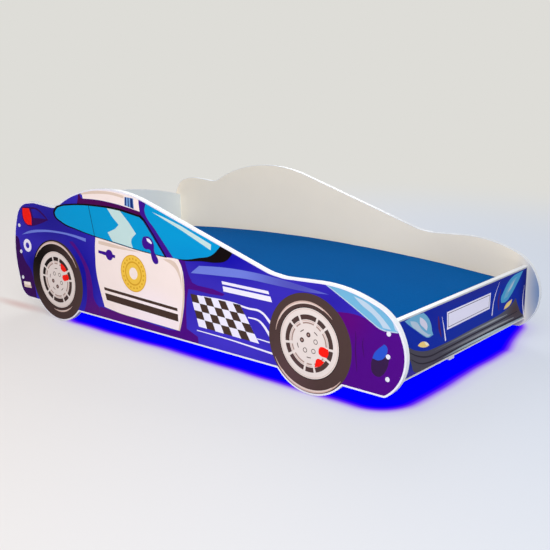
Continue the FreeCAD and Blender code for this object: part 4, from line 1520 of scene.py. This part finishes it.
ripple = result(tree, "ShaderNodeTexNoise", here, Scale=RIPPLE_SCALE, Detail=1.0)
waved = maths(tree, "MULTIPLY_ADD", ripple, -RIPPLE, maths(tree, "ADD", past_edge, RIPPLE / 2))
glow_reach = GLOW_STOPS[-1][0]
share_out = maths(tree, "DIVIDE", waved, glow_reach)


def ramp_of(tree, value, stops):
    """A colour ramp through stops of (position, colour)."""
    ramp = add_node(tree, "ShaderNodeValToRGB", value)
    elements = ramp.color_ramp.elements
    while len(elements) < len(stops):
        elements.new(0.5)
    for element, (position, colour) in zip(elements, stops):
        element.position = position
        element.color = colour
    return ramp.outputs[0]


print("the glow fades out over", glow_reach, "m")

# %% The glow's colours, and the floor's own light
glow_colour = ramp_of(tree, share_out, [(place / glow_reach, screen_colour(*colour))
                                        for place, colour, share in GLOW_STOPS])
glow_share = ramp_of(tree, share_out, [(place / glow_reach, (share, share, share, 1))
                                       for place, colour, share in GLOW_STOPS])
is_seen = add_node(tree, "ShaderNodeLightPath").outputs["Is Camera Ray"]
glow_strength = result(tree, "ShaderNodeMapRange", is_seen, To_Min=LIGHT_SHARE_OF_GLOW, To_Max=1.0)
glow = result(tree, "ShaderNodeEmission", glow_colour, glow_strength)
with_glow = result(tree, "ShaderNodeMixShader", glow_share, shader.outputs[0], glow)

fading = result(tree, "ShaderNodeMapRange", length_of(tree, here), interpolation_type="SMOOTHERSTEP",
                From_Min=FADE_START, From_Max=FADE_END)
even_tone = blend_colours(tree, fading, floor_tone, BACKDROP)
even_tone = blend_colours(tree, glow_share, even_tone, glow_colour)
backdrop_light = result(tree, "ShaderNodeEmission", even_tone)
evenness = result(tree, "ShaderNodeMapRange", fading, To_Min=EVEN_SHARE, To_Max=1.0)
seen_evenly = maths(tree, "MULTIPLY", evenness, is_seen)
whole_floor = result(tree, "ShaderNodeMixShader", seen_evenly, with_glow, backdrop_light)
join(tree, tree.nodes["Material Output"].inputs["Surface"], whole_floor)
print("even share near the bed", EVEN_SHARE)

# %% Surroundings and lamps
SURROUND_STRENGTH = 0.30
world = bpy.data.worlds.new("studio")
bpy.context.scene.world = world
world.use_nodes = True
tree = world.node_tree
background = tree.nodes["Background"]
background.inputs["Color"].default_value = screen_colour(250, 250, 252)
background.inputs["Strength"].default_value = SURROUND_STRENGTH
seen_backdrop = result(tree, "ShaderNodeBackground", BACKDROP, 1.0)
is_seen = add_node(tree, "ShaderNodeLightPath").outputs["Is Camera Ray"]
either = result(tree, "ShaderNodeMixShader", is_seen, background.outputs[0], seen_backdrop)
join(tree, tree.nodes["World Output"].inputs["Surface"], either)
LAMP_SIZE = 3.0
LAMP_AIM = Vector((0, 0, 0.2))


def soft_lamp(name, place, power):
    """A large square lamp at place, turned to face the bed."""
    bpy.ops.object.light_add(type="AREA", location=place)
    lamp = bpy.context.object
    lamp.name = name
    lamp.data.shape = "SQUARE"
    lamp.data.size = LAMP_SIZE
    lamp.data.energy = power
    lamp.rotation_euler = (LAMP_AIM - Vector(place)).to_track_quat("-Z", "Y").to_euler()


soft_lamp("overhead", (0.3, -0.4, 4.0), 14)
soft_lamp("front_right", (2.3, -3.0, 3.0), 215)
soft_lamp("back_left", (-2.3, 3.0, 3.0), 90)
